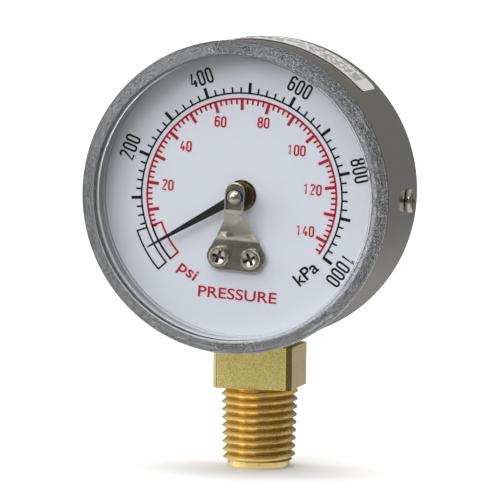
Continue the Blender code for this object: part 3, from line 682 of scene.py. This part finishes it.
def window_outline():
    """(radius, y) of the moulded window: pane, stepped rim, and the skirt behind the lip."""
    flange_back = CASE_FRONT - LIP_RING_THICKNESS
    skirt_back = CASE_FRONT + 3.2 * MM
    pane_back = WINDOW_FRONT + 1.5 * MM
    shoulder = WINDOW_RADIUS - 0.85 * MM
    return [
        (0, WINDOW_FRONT),
        (PANE_RADIUS * 0.5, WINDOW_FRONT),
        (PANE_RADIUS - 0.15 * MM, WINDOW_FRONT),
        (PANE_RADIUS, WINDOW_FRONT + 0.1 * MM),
        (PANE_RADIUS + 0.5 * MM, WINDOW_FRONT + 0.5 * MM),
        (shoulder, WINDOW_FRONT + 0.9 * MM),
        (WINDOW_RADIUS - 0.35 * MM, WINDOW_FRONT + 1.2 * MM),
        (WINDOW_RADIUS - 0.08 * MM, WINDOW_FRONT + 1.7 * MM),
        (WINDOW_RADIUS, WINDOW_FRONT + 2.1 * MM),
        (WINDOW_RADIUS - 0.06 * MM, WINDOW_FRONT + 2.4 * MM),
        (WINDOW_RADIUS - 0.35 * MM, flange_back),
        (SKIRT_OUTER, flange_back),
        (SKIRT_OUTER, skirt_back),
        (SKIRT_INNER, skirt_back),
        (SKIRT_INNER, pane_back),
        (SKIRT_INNER * 0.5, pane_back),
        (0, pane_back),
    ]


def make_window(finishes):
    """Clear moulded window with four clamp blocks and a round mark on its rim."""
    window = lathe(window_outline())
    outer, inner = WINDOW_RADIUS - 0.5 * MM, PANE_RADIUS - 0.1 * MM
    front, back = WINDOW_FRONT + 0.35 * MM, WINDOW_FRONT + 2.2 * MM
    blocks = []
    for angle, half, trim in ((90, 2.9, 0), (270, 2.7, 0), (180, 0.8, 0.5), (0, 0.8, 0.5)):
        far = (outer - trim * MM, back, half * MM)
        boss = soften(block((inner, front, -half * MM), far), 0.12 * MM)
        blocks.append(put(boss, turn=(0, -math.radians(angle), 0)))
    for boss in blocks:
        cut(window, boss, "UNION")
    mark = rod(0.75 * MM, (0, front + 0.12 * MM, 0), (0, front - 0.2 * MM, 0), 32)
    mark.location = (2.1 * MM, 0, (outer + inner) / 2)
    cut(window, joined([mark]))
    soften(window, 0.08 * MM, 2, 50)
    put(smooth(window, 30), AXIS)
    plastic = finishes["clear_plastic"]
    deliver(window, "window_moulding", "gauge_body", plastic, ["window"])


def make_gasket(finishes):
    """Black rubber rings on the case lip: one under the rim's edge, reaching out past it as a ring
    of painted shade for the shaded gap beside the case, and seals round the skirt.
    """
    rings = []
    for inner, outer, front, back in (
        # The first ring reaches out past the rim's edge: a dark ring of painted shade for the
        # shaded gap between the rim and the case.
        (WINDOW_RADIUS - MM, WINDOW_RADIUS - 0.22 * MM, 0.03 * MM - LIP_RING_THICKNESS, -0.02 * MM),
        (SKIRT_OUTER + 0.04 * MM, SKIRT_OUTER + MM, 0.05 * MM - LIP_RING_THICKNESS, -0.02 * MM),
        (SKIRT_OUTER + 0.03 * MM, LIP_INNER - 0.03 * MM, -0.04 * MM, 0.9 * MM),
    ):
        corners = [(inner, front), (outer, front), (outer, back), (inner, back), (inner, front)]
        ring = lathe([(radius, CASE_FRONT + y) for radius, y in corners])
        rings.append(soften(ring, 0.02 * MM))
    gasket = put(smooth(joined(rings)), AXIS)
    deliver(gasket, "window_gasket", "gauge_body", finishes["rubber"])


def make_dial(finishes):
    """White enamelled dial plate with its hub hole and two screw holes."""
    dial = lathe(
        [
            (HUB_HOLE, DIAL_FRONT),
            (DIAL_RADIUS * 0.5, DIAL_FRONT),
            (DIAL_RADIUS, DIAL_FRONT),
            (DIAL_RADIUS, DIAL_BACK),
            (HUB_HOLE, DIAL_BACK),
            (HUB_HOLE, DIAL_FRONT),
        ]
    )
    for x, z in BRIDGE_SCREW_PLACES:
        hole = rod(BRIDGE_SCREW_HOLE, (x, DIAL_FRONT - MM, z), (x, DIAL_BACK + MM, z), 24)
        cut(dial, hole)
    soften(dial, 0.06 * MM)
    put(smooth(dial), AXIS, (0, TURN, 0))
    deliver(dial, "dial_plate", "gauge_body", finishes["dial_white"], ["dial"])


# Dial printing. Angles are degrees in a front view of the case.

INK_HIGH = 0.03 * MM
INK_BACK = 0.01 * MM  # how far the ink reaches into the plate, so that no gap shows
PRINT_SIZE, PRINT_DROP = 0.989, 0.15 * MM  # set by fit: a touch small, and under the shaft
DEGREES_PER_KPA = 0.2411
ZERO_ANGLE = 206.59
KPA_PER_PSI = 6.8948
KPA_LINE, PSI_LINE = 18.17 * MM, 17.15 * MM  # radii of the two scale lines
PSI_NUMBER_RADII = {20: 13.5, 40: 13.3, 60: 13.6, 80: 13.6, 100: 12.95, 120: 12.95, 140: 12.95}


def kpa_angle(kpa):
    return ZERO_ANGLE - DEGREES_PER_KPA * kpa


def ring_line(radius, width, start, end):
    """A printed arc, between two angles."""
    half = width / 2
    outline = [
        (radius - half, -INK_HIGH),
        (radius + half, -INK_HIGH),
        (radius + half, INK_BACK),
        (radius - half, INK_BACK),
        (radius - half, -INK_HIGH),
    ]
    start, sweep = math.radians(start), math.radians(end - start)
    line = lathe(outline, max(4, round(abs(end - start) * 0.8)), start, sweep)
    open_up(line)
    bpy.ops.mesh.fill_holes(sides=0)
    return seal(line)


def ticks(inner, outer, width, angles):
    """Short radial lines: one is modelled, and the rest are copies turned round the axis."""
    first = block((inner, -INK_HIGH, -width / 2), (outer, INK_BACK, width / 2))
    made = []
    for angle in angles:
        tick = copied(first)
        tick.rotation_euler.y = -math.radians(angle)
        made.append(tick)
    bpy.data.objects.remove(first)
    return made


def zero_box(inner, outer, width, start, end):
    """The stop box at the bottom of a scale: two arcs, closed by a line at each end."""
    sides = [ring_line(radius, width, start, end) for radius in (inner, outer)]
    half = width / 2
    return sides + ticks(inner - half, outer + half, width, (start, end))


def numeral_strokes(character):
    """Centre lines of a narrow round-cornered numeral, 1 high and 0.36 wide, from (0, 0)."""
    wide, tall, turn = 0.36, 1.0, 0.18
    if character == "0":
        top = bow((turn, tall - turn), (turn, turn), 0, 180, 10)
        bottom = bow((turn, turn), (turn, turn), 180, 360, 10)
        return [top + bottom + top[:1]]
    if character == "1":
        return [[(0.02, tall - 0.2), (0.18, tall), (0.18, 0)]]
    if character == "2":
        top = bow((turn, tall - turn), (turn, turn), 170, -20, 10)
        return [top + [(0.30, 0.62), (0.0, 0.0), (wide, 0.0)]]
    if character == "4":
        return [[(0.20, tall), (0.0, 0.28), (wide + 0.05, 0.28)], [(0.27, 0.5), (0.27, 0)]]
    if character == "6":
        bowl = bow((turn, 0.40), (turn, turn), 180, 0, 8)
        bowl += bow((turn, turn), (turn, turn), 0, -180, 8)
        back = [(0.0, 0.40), (0.0, tall - turn)]
        return [bowl + back + bow((turn, tall - turn), (turn, turn), 180, 15, 8)]
    lower = bow((turn, 0.36), (turn, 0.16), 180, 0, 8)
    lower += bow((turn, turn), (turn, turn), 0, -180, 8)
    upper = bow((turn, tall - 0.16), (0.16, 0.16), 180, 0, 8)
    upper += bow((turn, 0.68), (0.16, 0.16), 0, -180, 8)
    return [lower + lower[:1], upper + upper[:1]]


def stroked(line, thickness):
    """A flat ribbon of ink along (x, z) points."""
    curve = bpy.data.curves.new("stroke", "CURVE")
    curve.dimensions = "3D"
    curve.bevel_depth = thickness / 2
    curve.bevel_resolution = 1
    curve.use_fill_caps = True
    spline = curve.splines.new("POLY")
    if line[0] == line[-1]:
        line = line[:-1]
        spline.use_cyclic_u = True
    spline.points.add(len(line) - 1)
    for point, (x, z) in zip(spline.points, line):
        point.co = (x, 0, z, 1)
    piece = bpy.data.objects.new("stroke", curve)
    bpy.context.collection.objects.link(piece)
    take(piece)
    bpy.ops.object.convert(target="MESH")
    piece = bpy.context.object
    piece.scale.y = 2 * INK_HIGH / thickness
    bpy.ops.object.transform_apply()
    open_up(piece)
    return seal(piece)


def numeral(character, height, thickness, width_share=1.0):
    """One numeral standing on z 0, centred on x 0."""
    drawing_height = height - thickness
    pieces = []
    for line in numeral_strokes(character):
        points = [((x - 0.18) * drawing_height * width_share, z * drawing_height) for x, z in line]
        pieces.append(stroked(points, thickness))
    piece = joined(pieces)
    return put(piece, (0, 0, thickness / 2))


def number(patterns, text, height, spacing):
    """A number laid out from copies of its numerals, centred on the origin."""
    made = []
    for place, character in enumerate(text):
        digit = copied(patterns[character])
        across = (place - (len(text) - 1) / 2) * spacing
        digit.location = (across, 0, -height / 2)
        made.append(digit)
    return joined(made)


def word(text, height, width):
    """Printed letters centred on the origin, facing the front and stretched to this width."""
    clear_hands()
    bpy.ops.object.text_add()
    letters = bpy.context.object
    letters.data.body = text
    letters.data.size = 1.36 * height
    letters.data.extrude = INK_HIGH
    letters.data.offset = 0.02 * height
    letters.data.resolution_u = 4
    bpy.ops.object.convert(target="MESH")
    letters = bpy.context.object
    corners = [Vector(corner) for corner in letters.bound_box]
    lowest = Vector(min(c[i] for c in corners) for i in range(3))
    highest = Vector(max(c[i] for c in corners) for i in range(3))
    letters.scale.x = width / (highest.x - lowest.x)
    middle = (lowest + highest) / 2
    letters.location = (-middle.x * letters.scale.x, -middle.y, 0)
    bpy.ops.object.transform_apply()
    open_up(letters)
    return put(seal(letters), turn=(math.pi / 2, 0, 0))


def at(piece, radius, angle, turned):
    """Moves a piece out from the dial's centre, turned in its place by so many degrees."""
    x, z = front_point(radius, math.radians(angle))
    return put(piece, (x, 0, z), (0, -math.radians(turned), 0))


def print_dial(pieces, name, finish):
    """Joins a colour's printing and lays it on the dial."""
    printing = joined(pieces)
    printing.scale = (PRINT_SIZE, 1, PRINT_SIZE)
    put(printing, (AXIS.x, DIAL_FRONT, AXIS.z - PRINT_DROP))
    open_up(printing)
    bpy.ops.mesh.normals_make_consistent(inside=False)
    bpy.ops.object.mode_set(mode="OBJECT")
    deliver(smooth(printing, 40), name, "gauge_body", finish)


def make_printing(finishes):
    """Black kilopascal scale outside, red pounds per square inch inside."""
    tilt = -math.degrees(TURN)
    black = [ring_line(KPA_LINE, 0.3 * MM, kpa_angle(1000), 221.8)]
    major = [kpa_angle(kpa) for kpa in range(100, 1100, 100)]
    minor = [kpa_angle(kpa) for kpa in range(40, 1000, 20) if kpa % 100]
    black += ticks(18.1 * MM, 20.05 * MM, 0.56 * MM, major)
    black += ticks(18.1 * MM, 19.2 * MM, 0.32 * MM, minor)
    black += zero_box(KPA_LINE, 20.05 * MM, 0.3 * MM, 199.6, 221.8)
    tall, thick = 2.9 * MM, 0.44 * MM
    patterns = {c: numeral(c, tall, thick) for c in "012468"}
    for kpa in (200, 400, 600, 800, 1000):
        angle = kpa_angle(kpa)
        label = number(patterns, str(kpa), tall, 1.52 * MM)
        black.append(at(label, 21.95 * MM, angle, angle - 90))
    black.append(at(word("kPa", 2.4 * MM, 4.7 * MM), 17.7 * MM, -48, 42))
    print_dial(black, "dial_scale_black", finishes["black_ink"])
    for pattern in patterns.values():
        bpy.data.objects.remove(pattern)

    psi_angles = {p: kpa_angle(p * KPA_PER_PSI) for p in range(4, 146, 2)}
    major = [angle for psi, angle in psi_angles.items() if psi % 10 == 0]
    minor = [angle for psi, angle in psi_angles.items() if psi % 10]
    red = [ring_line(PSI_LINE, 0.36 * MM, psi_angles[144] - 1.6, 222)]
    red += ticks(15.15 * MM, 17.1 * MM, 0.58 * MM, major)
    red += ticks(16.2 * MM, 17.1 * MM, 0.36 * MM, minor)
    red += zero_box(15.3 * MM, PSI_LINE, 0.34 * MM, 199.2, 222)
    tall, thick = 2.05 * MM, 0.38 * MM
    patterns = {c: numeral(c, tall, thick, 1.15) for c in "012468"}
    for psi, radius in PSI_NUMBER_RADII.items():
        label = number(patterns, str(psi), tall, 1.15 * MM)
        red.append(at(label, radius * MM, psi_angles[psi], tilt))
    for pattern in patterns.values():
        bpy.data.objects.remove(pattern)
    red.append(at(word("psi", 2.2 * MM, 3.6 * MM), 16.8 * MM, 235, -35))
    red.append(at(word("PRESSURE", 2.0 * MM, 14.3 * MM), 17.4 * MM, -91.6, tilt))
    print_dial(red, "dial_scale_red", finishes["red_ink"])


# Label

LABEL_CORNER = 1.3 * MM
LABEL_THICKNESS = 0.1 * MM
LABEL_ROWS = 8
RED_ROWS = (0, 6)
ROW_MARGIN = 0.9 * MM  # from the label's edge to the first row's middle
RULE_HALF = 0.24 * MM


def make_label(finishes):
    """Curved label on the case wall, printed with plain rules."""
    front, back = low("rating_label").y, high("rating_label").y
    start, end = LABEL_ENDS
    label = drawn([(0, front, 0), (0, back, 0)])
    side = Matrix.Rotation(-start, 3, "Y") @ Vector((LABEL_RADIUS, 0, 0))
    bpy.ops.transform.translate(value=side)
    bpy.ops.mesh.spin(steps=18, angle=end - start, center=(0, 0, 0), axis=(0, 1, 0))

    def is_corner(vertex):
        return len(vertex.link_faces) == 1

    pick(label, "verts", is_corner)
    bpy.ops.mesh.bevel(offset=LABEL_CORNER, segments=6, affect="VERTICES")
    seal(label)
    take(label)
    sheet = label.modifiers.new("thickness", "SOLIDIFY")
    sheet.thickness, sheet.offset = LABEL_THICKNESS, 0
    bpy.ops.object.modifier_apply(modifier=sheet.name)
    put(smooth(label, 30), AXIS)
    paper = finishes["label_stock"]
    deliver(label, "rating_sticker", "gauge_body", paper, ["rating_label"])

    dice = random.Random(7)
    printed = LABEL_RADIUS + 0.055 * MM
    rows = {"grey": [], "red": []}
    row_pitch = (back - front - 2 * ROW_MARGIN) / (LABEL_ROWS - 1)
    for row in range(LABEL_ROWS):
        place = front + ROW_MARGIN + row * row_pitch
        colour = "red" if row in RED_ROWS else "grey"
        angle = start + 0.09
        while angle < end - 0.08:
            length = dice.uniform(0.012, 0.07)
            if dice.random() > (0.6 if colour == "red" else 0.1):
                rows[colour].append((place, angle, min(angle + length, end - 0.04)))
            angle += length + dice.uniform(0.012, 0.03)
    for colour, marks in rows.items():
        made = []
        for place, begins, ends in marks:
            half = printed * (ends - begins) / 2
            corner = (printed - 0.05 * MM, place - RULE_HALF, -half)
            mark = block(corner, (printed, place + RULE_HALF, half))
            mark.rotation_euler.y = -(begins + ends) / 2
            made.append(mark)
        rules = put(joined(made), AXIS)
        deliver(rules, f"label_rules_{colour}", "gauge_body", finishes[f"{colour}_ink"])


# Screws, bridge and pointer


def pan_screw(head, tall, shank, reach):
    """A domed cross-recess screw on the Y axis: head in front of y 0, shank behind it."""
    outline = [(0, -0.66 * tall), (0.3 * head, -0.7 * tall), (0.58 * head, -0.88 * tall)]
    outline += [(0.7 * head, -tall), (0.86 * head, -0.96 * tall), (0.96 * head, -0.8 * tall)]
    outline += [(head, -0.55 * tall), (head, 0), (shank, 0), (shank, reach - 0.3 * MM)]
    outline += [(shank - 0.25 * MM, reach), (0, reach)]
    screw = lathe(outline, SMALL)
    wing, floor = 0.85 * head, 0.9 * tall
    for turn in (0, 90):
        slot = block((-wing, -tall - MM, -0.18 * head), (wing, -tall + floor, 0.18 * head))
        open_up(slot)
        pick(slot, "faces", lambda face: face.normal.y > 0.9)
        bpy.ops.transform.resize(value=(0.55, 1, 0.7))
        bpy.ops.object.mode_set(mode="OBJECT")
        cut(screw, put(slot, turn=(0, math.radians(turn), 0)))
    soften(screw, 0.05 * MM, 2, 45)
    return smooth(screw, 35)


def bridge_outline():
    """(across, up) from the gauge axis: round-topped arm, flared skirt, round-cornered foot."""
    half = 1.72
    right = bow((0, 0.88), (half, half), 90, 0, 10)
    right += [(half, -1.2), (1.66, -2.2), (1.6, -3.0), (1.72, -3.7), (2.1, -4.5), (4.95, -9.5)]
    right += bow((2.7, -10.7), (2.6, 2.6), 24, -90, 10)
    left = [(-across, up) for across, up in reversed(right)]
    return [(x * MM, z * MM) for x, z in right + left[:-1]]


def make_bridge(finishes):
    """Pressed front bridge: bent sheet with rounded edges, and a ball set in a groove."""
    arm, foot = low("front_bridge").y + 0.95 * MM, DIAL_FRONT - 0.8 * MM
    thick = 0.5 * MM
    side = [(arm, 4 * MM), (arm, -2.2 * MM), (arm + 0.15 * MM, -2.65 * MM)]
    side += [(arm + 0.55 * MM, -3.2 * MM), (foot - 0.5 * MM, -6.95 * MM)]
    side += [(foot - 0.12 * MM, -7.45 * MM), (foot, -8 * MM), (foot, -14 * MM)]
    side += [(y + thick, z) for y, z in reversed(side)]
    wide = 6.5 * MM
    bridge = prism([(-wide, y, z) for y, z in side], (2 * wide, 0, 0))
    stamp = prism([(x, arm - MM, z) for x, z in bridge_outline()], (0, 8 * MM, 0))
    cut(bridge, stamp, "INTERSECT")
    for x, z in BRIDGE_SCREW_PLACES:
        cut(bridge, rod(BRIDGE_SCREW_HOLE, (x, foot - MM, z), (x, foot + 2 * MM, z), 32))
    soften(bridge, 0.2 * MM, 4, 50)
    ball, depth = 1.3 * MM, 0.2 * MM
    trough = rod(ball + 0.22 * MM, (0, arm - MM, 0), (0, arm + depth, 0))
    pocket = block((-ball, arm - MM, -2.15 * MM), (ball, arm + depth, -0.4 * MM))
    cut(bridge, cut(trough, pocket, "UNION"))
    soften(bridge, 0.06 * MM, 2, 60)
    crown = lathe(bow((0, arm + 0.25 * MM), (ball, 1.2 * MM), -90, 0, 10) + [(0, arm + 0.25 * MM)])
    cut(bridge, crown, "UNION")
    put(smooth(bridge, 32), AXIS, (0, TURN, 0))
    deliver(bridge, "bridge_plate", "gauge_body", finishes["nickel"], ["front_bridge"])


def make_bridge_screws(finishes):
    for side, twist in (("left", 20), ("right", 65)):
        node = f"bridge_screw_{side}"
        corner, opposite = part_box(node)
        head = (opposite.x - corner.x) / 2
        middle = (corner + opposite) / 2
        tall = 1.1 * MM
        screw = pan_screw(head, tall, 0.7 * MM, opposite.y - corner.y - tall)
        put(screw, (middle.x, corner.y + tall, middle.z), (0, math.radians(twist), 0))
        deliver(screw, f"{node}_head", "gauge_body", finishes["nickel"], [node])


def make_case_screws(finishes):
    for side, sign in (("left", -1), ("right", 1)):
        node = f"case_screw_{side}"
        corner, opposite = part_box(node)
        head = (opposite.z - corner.z) / 2
        tall, sunk = 0.9 * MM, 0.4 * MM
        screw = pan_screw(head, tall, 0.9 * MM, opposite.x - corner.x - tall - sunk)
        put(screw, turn=(0, math.radians(8), 0))
        put(screw, turn=(0, 0, sign * math.pi / 2))
        seat = sign * (max(abs(corner.x), abs(opposite.x)) - tall - sunk)
        middle = (corner + opposite) / 2
        put(screw, (seat, middle.y, middle.z))
        deliver(screw, f"{node}_head", "gauge_body", finishes["nickel"], [node])


def clean_copy(node, name):
    """A CAD node's copy, with its loose triangles merged back into flat faces."""
    piece = bpy.data.objects.new(name, frame["nodes"][node].data.copy())
    bpy.context.collection.objects.link(piece)
    open_up(piece)
    bpy.ops.mesh.remove_doubles(threshold=CAD_MERGE)
    bpy.ops.mesh.dissolve_limited(angle_limit=math.radians(1))
    bpy.ops.object.mode_set(mode="OBJECT")
    return piece


def refined(node, name, finish, bevel):
    """A CAD node's copy, its edges broken and its rounds smooth. The tube's copy is put on no
    body.
    """
    piece = smooth(soften(clean_copy(node, name), bevel))
    body = None if node == "bourdon_tube" else frame["nodes"][node]["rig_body"]
    return deliver(piece, name, body, finish, [node])


INNER_PIECES = {
    "case_yoke": "steel",
    "yoke_screw_upper": "steel",
    "yoke_screw_lower": "steel",
    "bourdon_tube": "bronze",
    "tube_tip_block": "brass",
    "link_pin_tip": "steel",
    "link": "steel",
    "link_pin_sector": "steel",
    "sector_gear": "brass",
    "sector_arbor": "steel",
    "pinion_arbor": "steel",
    "hairspring": "bronze",
    "hairspring_stud": "brass",
    "movement_front_plate": "brass",
    "movement_back_plate": "brass",
    "movement_pillar_1": "brass",
    "movement_pillar_2": "brass",
    "movement_pillar_3": "brass",
    "plate_screw_1": "steel",
    "plate_screw_2": "steel",
    "plate_screw_3": "steel",
    "socket_screw_left": "steel",
    "socket_screw_right": "steel",
    "dial_spacer_left": "brass",
    "dial_spacer_right": "brass",
}


def make_inside(finishes):
    """The movement, and the pressure tube, which in use unrolls from its socket end to its tip;
    here its copy keeps its CAD shape.
    """
    for node, slot in INNER_PIECES.items():
        bevel = 0.02 * MM if node in ("hairspring", "bourdon_tube") else 0.05 * MM
        piece = refined(node, f"{node}_fine", finishes[slot], bevel)
        if node == "bourdon_tube":
            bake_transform(piece)


# Stem


def make_thread():
    """True helical thread: one ridge's outline screwed upwards, tapered and cut to length."""
    root = THREAD_END_RADIUS - THREAD_DEPTH
    flat = 0.1 * THREAD_PITCH
    start = -3.5 * THREAD_PITCH
    profile = [
        (root, 0, start),
        (root, 0, start + flat),
        (THREAD_END_RADIUS, 0, start + 0.5 * THREAD_PITCH - flat / 2),
        (THREAD_END_RADIUS, 0, start + 0.5 * THREAD_PITCH + flat / 2),
        (root, 0, start + THREAD_PITCH),
    ]
    thread = drawn(profile)
    bpy.ops.object.mode_set(mode="OBJECT")
    climb = thread.modifiers.new("climb", "SCREW")
    climb.angle, climb.screw_offset, climb.axis = math.tau, THREAD_PITCH, "Z"
    climb.iterations = round(THREAD_TOP / THREAD_PITCH) + 7
    climb.steps = climb.render_steps = 72
    climb.use_merge_vertices, climb.merge_threshold = True, MERGE
    bpy.ops.object.modifier_apply(modifier=climb.name)
    open_up(thread)
    bpy.ops.mesh.fill_holes(sides=0)
    seal(thread)
    taper = thread.modifiers.new("taper", "SIMPLE_DEFORM")
    taper.deform_method, taper.deform_axis = "TAPER", "Z"
    growth = THREAD_TOP_RADIUS / THREAD_END_RADIUS - 1
    taper.factor = growth * thread.dimensions.z / THREAD_TOP
    take(thread)
    bpy.ops.object.modifier_apply(modifier=taper.name)
    return put(thread, turn=(0, 0, math.pi))


def make_stem(finishes):
    """Brass stem: thread with a chamfered end, bevelled wrench block, neck and socket."""
    thread = make_thread()
    lip = THREAD_END_RADIUS - THREAD_DEPTH - 0.12 * MM
    wide, top = THREAD_TOP_RADIUS + MM, THREAD_TOP + 0.02 * MM
    turned = [(0, 0), (lip - 0.45 * MM, 0), (lip, 0.5 * MM), (lip, MM)]
    turned += [(wide, 2.3 * MM), (wide, top), (0, top)]
    envelope = put(lathe(turned, 96), turn=(math.pi / 2, 0, 0))
    cut(thread, envelope, "INTERSECT")

    stem = clean_copy("stem", "stem_upper")
    wide = 10 * MM
    cut(stem, block((-wide, -wide, -MM), (wide, wide, THREAD_TOP)))
    soften(stem, 0.12 * MM, 2, 30)
    cut(thread, rod(BORE_RADIUS, (0, 0, -MM), (0, 0, THREAD_TOP + 2 * MM)))
    stem = joined([stem, thread])
    smooth(stem, 32)
    deliver(stem, "brass_stem", "gauge_body", finishes["stem_brass"], ["stem"])


# Studio


def make_camera():
    """Long lens, a little right of the gauge axis and a little above it."""
    turn, lift, roll = math.radians(14.3), math.radians(5.37), math.radians(0.8)
    distance, across, down = 0.780, 2.80 * MM, -9.03 * MM
    level = math.cos(lift)
    back = Vector((math.sin(turn) * level, -math.cos(turn) * level, math.sin(lift)))
    right = Vector((math.cos(turn), math.sin(turn), 0))
    up = back.cross(right)
    aim = Vector((0, WINDOW_FRONT + 2.5 * MM, AXIS.z))
    axes = Matrix(
        (
            right * math.cos(roll) + up * math.sin(roll),
            up * math.cos(roll) - right * math.sin(roll),
            back,
        )
    )
    place = axes.transposed().to_4x4()
    place.translation = aim + back * distance + right * across + up * down
    data = bpy.data.cameras.new("camera")
    data.sensor_width, data.lens = 36, 325.2
    data.clip_start, data.clip_end = 0.01, 100
    camera = bpy.data.objects.new("camera", data)
    camera.matrix_world = place
    bpy.context.scene.collection.objects.link(camera)
    bpy.context.scene.camera = camera


def make_lamp(name, place, size, power):
    """A soft panel that faces the gauge."""
    data = bpy.data.lights.new(name, "AREA")
    data.shape, data.size, data.size_y = "RECTANGLE", *size
    data.energy = power
    lamp = bpy.data.objects.new(name, data)
    lamp.location = place
    lamp.rotation_euler = (Vector(place) - AXIS).to_track_quat("Z", "Y").to_euler()
    bpy.context.scene.collection.objects.link(lamp)


def make_room():
    """Dim surroundings for the metal to mirror, paler at the left, above and below."""
    world = bpy.data.worlds.new("studio")
    bpy.context.scene.world = world
    room = Finish("studio", world)
    x, y, z = room.parts(room.node("TexCoord", output="Generated"))
    left = room.step(x, -0.30, -0.85)
    behind = room.step(y, 0.2, 0.8)
    above = room.step(z, 0.35, 0.9)
    below = room.step(z, -0.12, -0.6)
    share = 0.11 + left * 0.45 + behind * 0.10 + above * 0.35 + below * 0.55
    glow = room.node("Background", None, {"Color": (1.0, 0.98, 0.955, 1), "Strength": share})
    room.node("OutputWorld", None, {"Surface": glow})


def make_floor():
    """Pale seamless floor under the threaded end."""
    clear_hands()
    bpy.ops.mesh.primitive_plane_add(size=24, location=(0, 0, cad_box[0].z - 0.02 * MM))
    bpy.ops.object.transform_apply()
    floor = bpy.context.object
    floor.name = "floor"
    paper = Finish("pale_floor")
    speck = paper.noise(0.6, 3)
    shade = paper.blend(speck, (0.86, 0.86, 0.865), (0.89, 0.89, 0.89))
    floor.data.materials.append(paper.surface(Base_Color=shade, Roughness=0.9))
    floor.visible_glossy = floor.visible_transmission = False


def make_studio():
    bpy.context.scene.view_settings.view_transform = "Standard"
    make_room()
    make_floor()
    make_lamp("key_panel", (-0.58, -0.47, 0.42), (0.3, 0.7), 1.6)
    make_lamp("front_panel", (-0.24, -0.91, 0.58), (0.6, 0.45), 2.5)
    data = bpy.data.lights.new("skylight", "SUN")
    data.energy, data.angle = 3.7, math.radians(75)
    sky = bpy.data.objects.new("skylight", data)
    sky.visible_glossy = False
    bpy.context.scene.collection.objects.link(sky)


make_camera()
finishes = paint_shop()
make_case(finishes)
make_window(finishes)
make_gasket(finishes)
make_dial(finishes)
make_printing(finishes)
make_label(finishes)
make_bridge(finishes)
make_bridge_screws(finishes)
make_case_screws(finishes)
refined("pointer", "pointer_blade", finishes["pointer_black"], 0.04 * MM)
refined("pointer_hub", "pointer_collar", finishes["hub_brass"], 0.08 * MM)
make_inside(finishes)
make_stem(finishes)
make_studio()
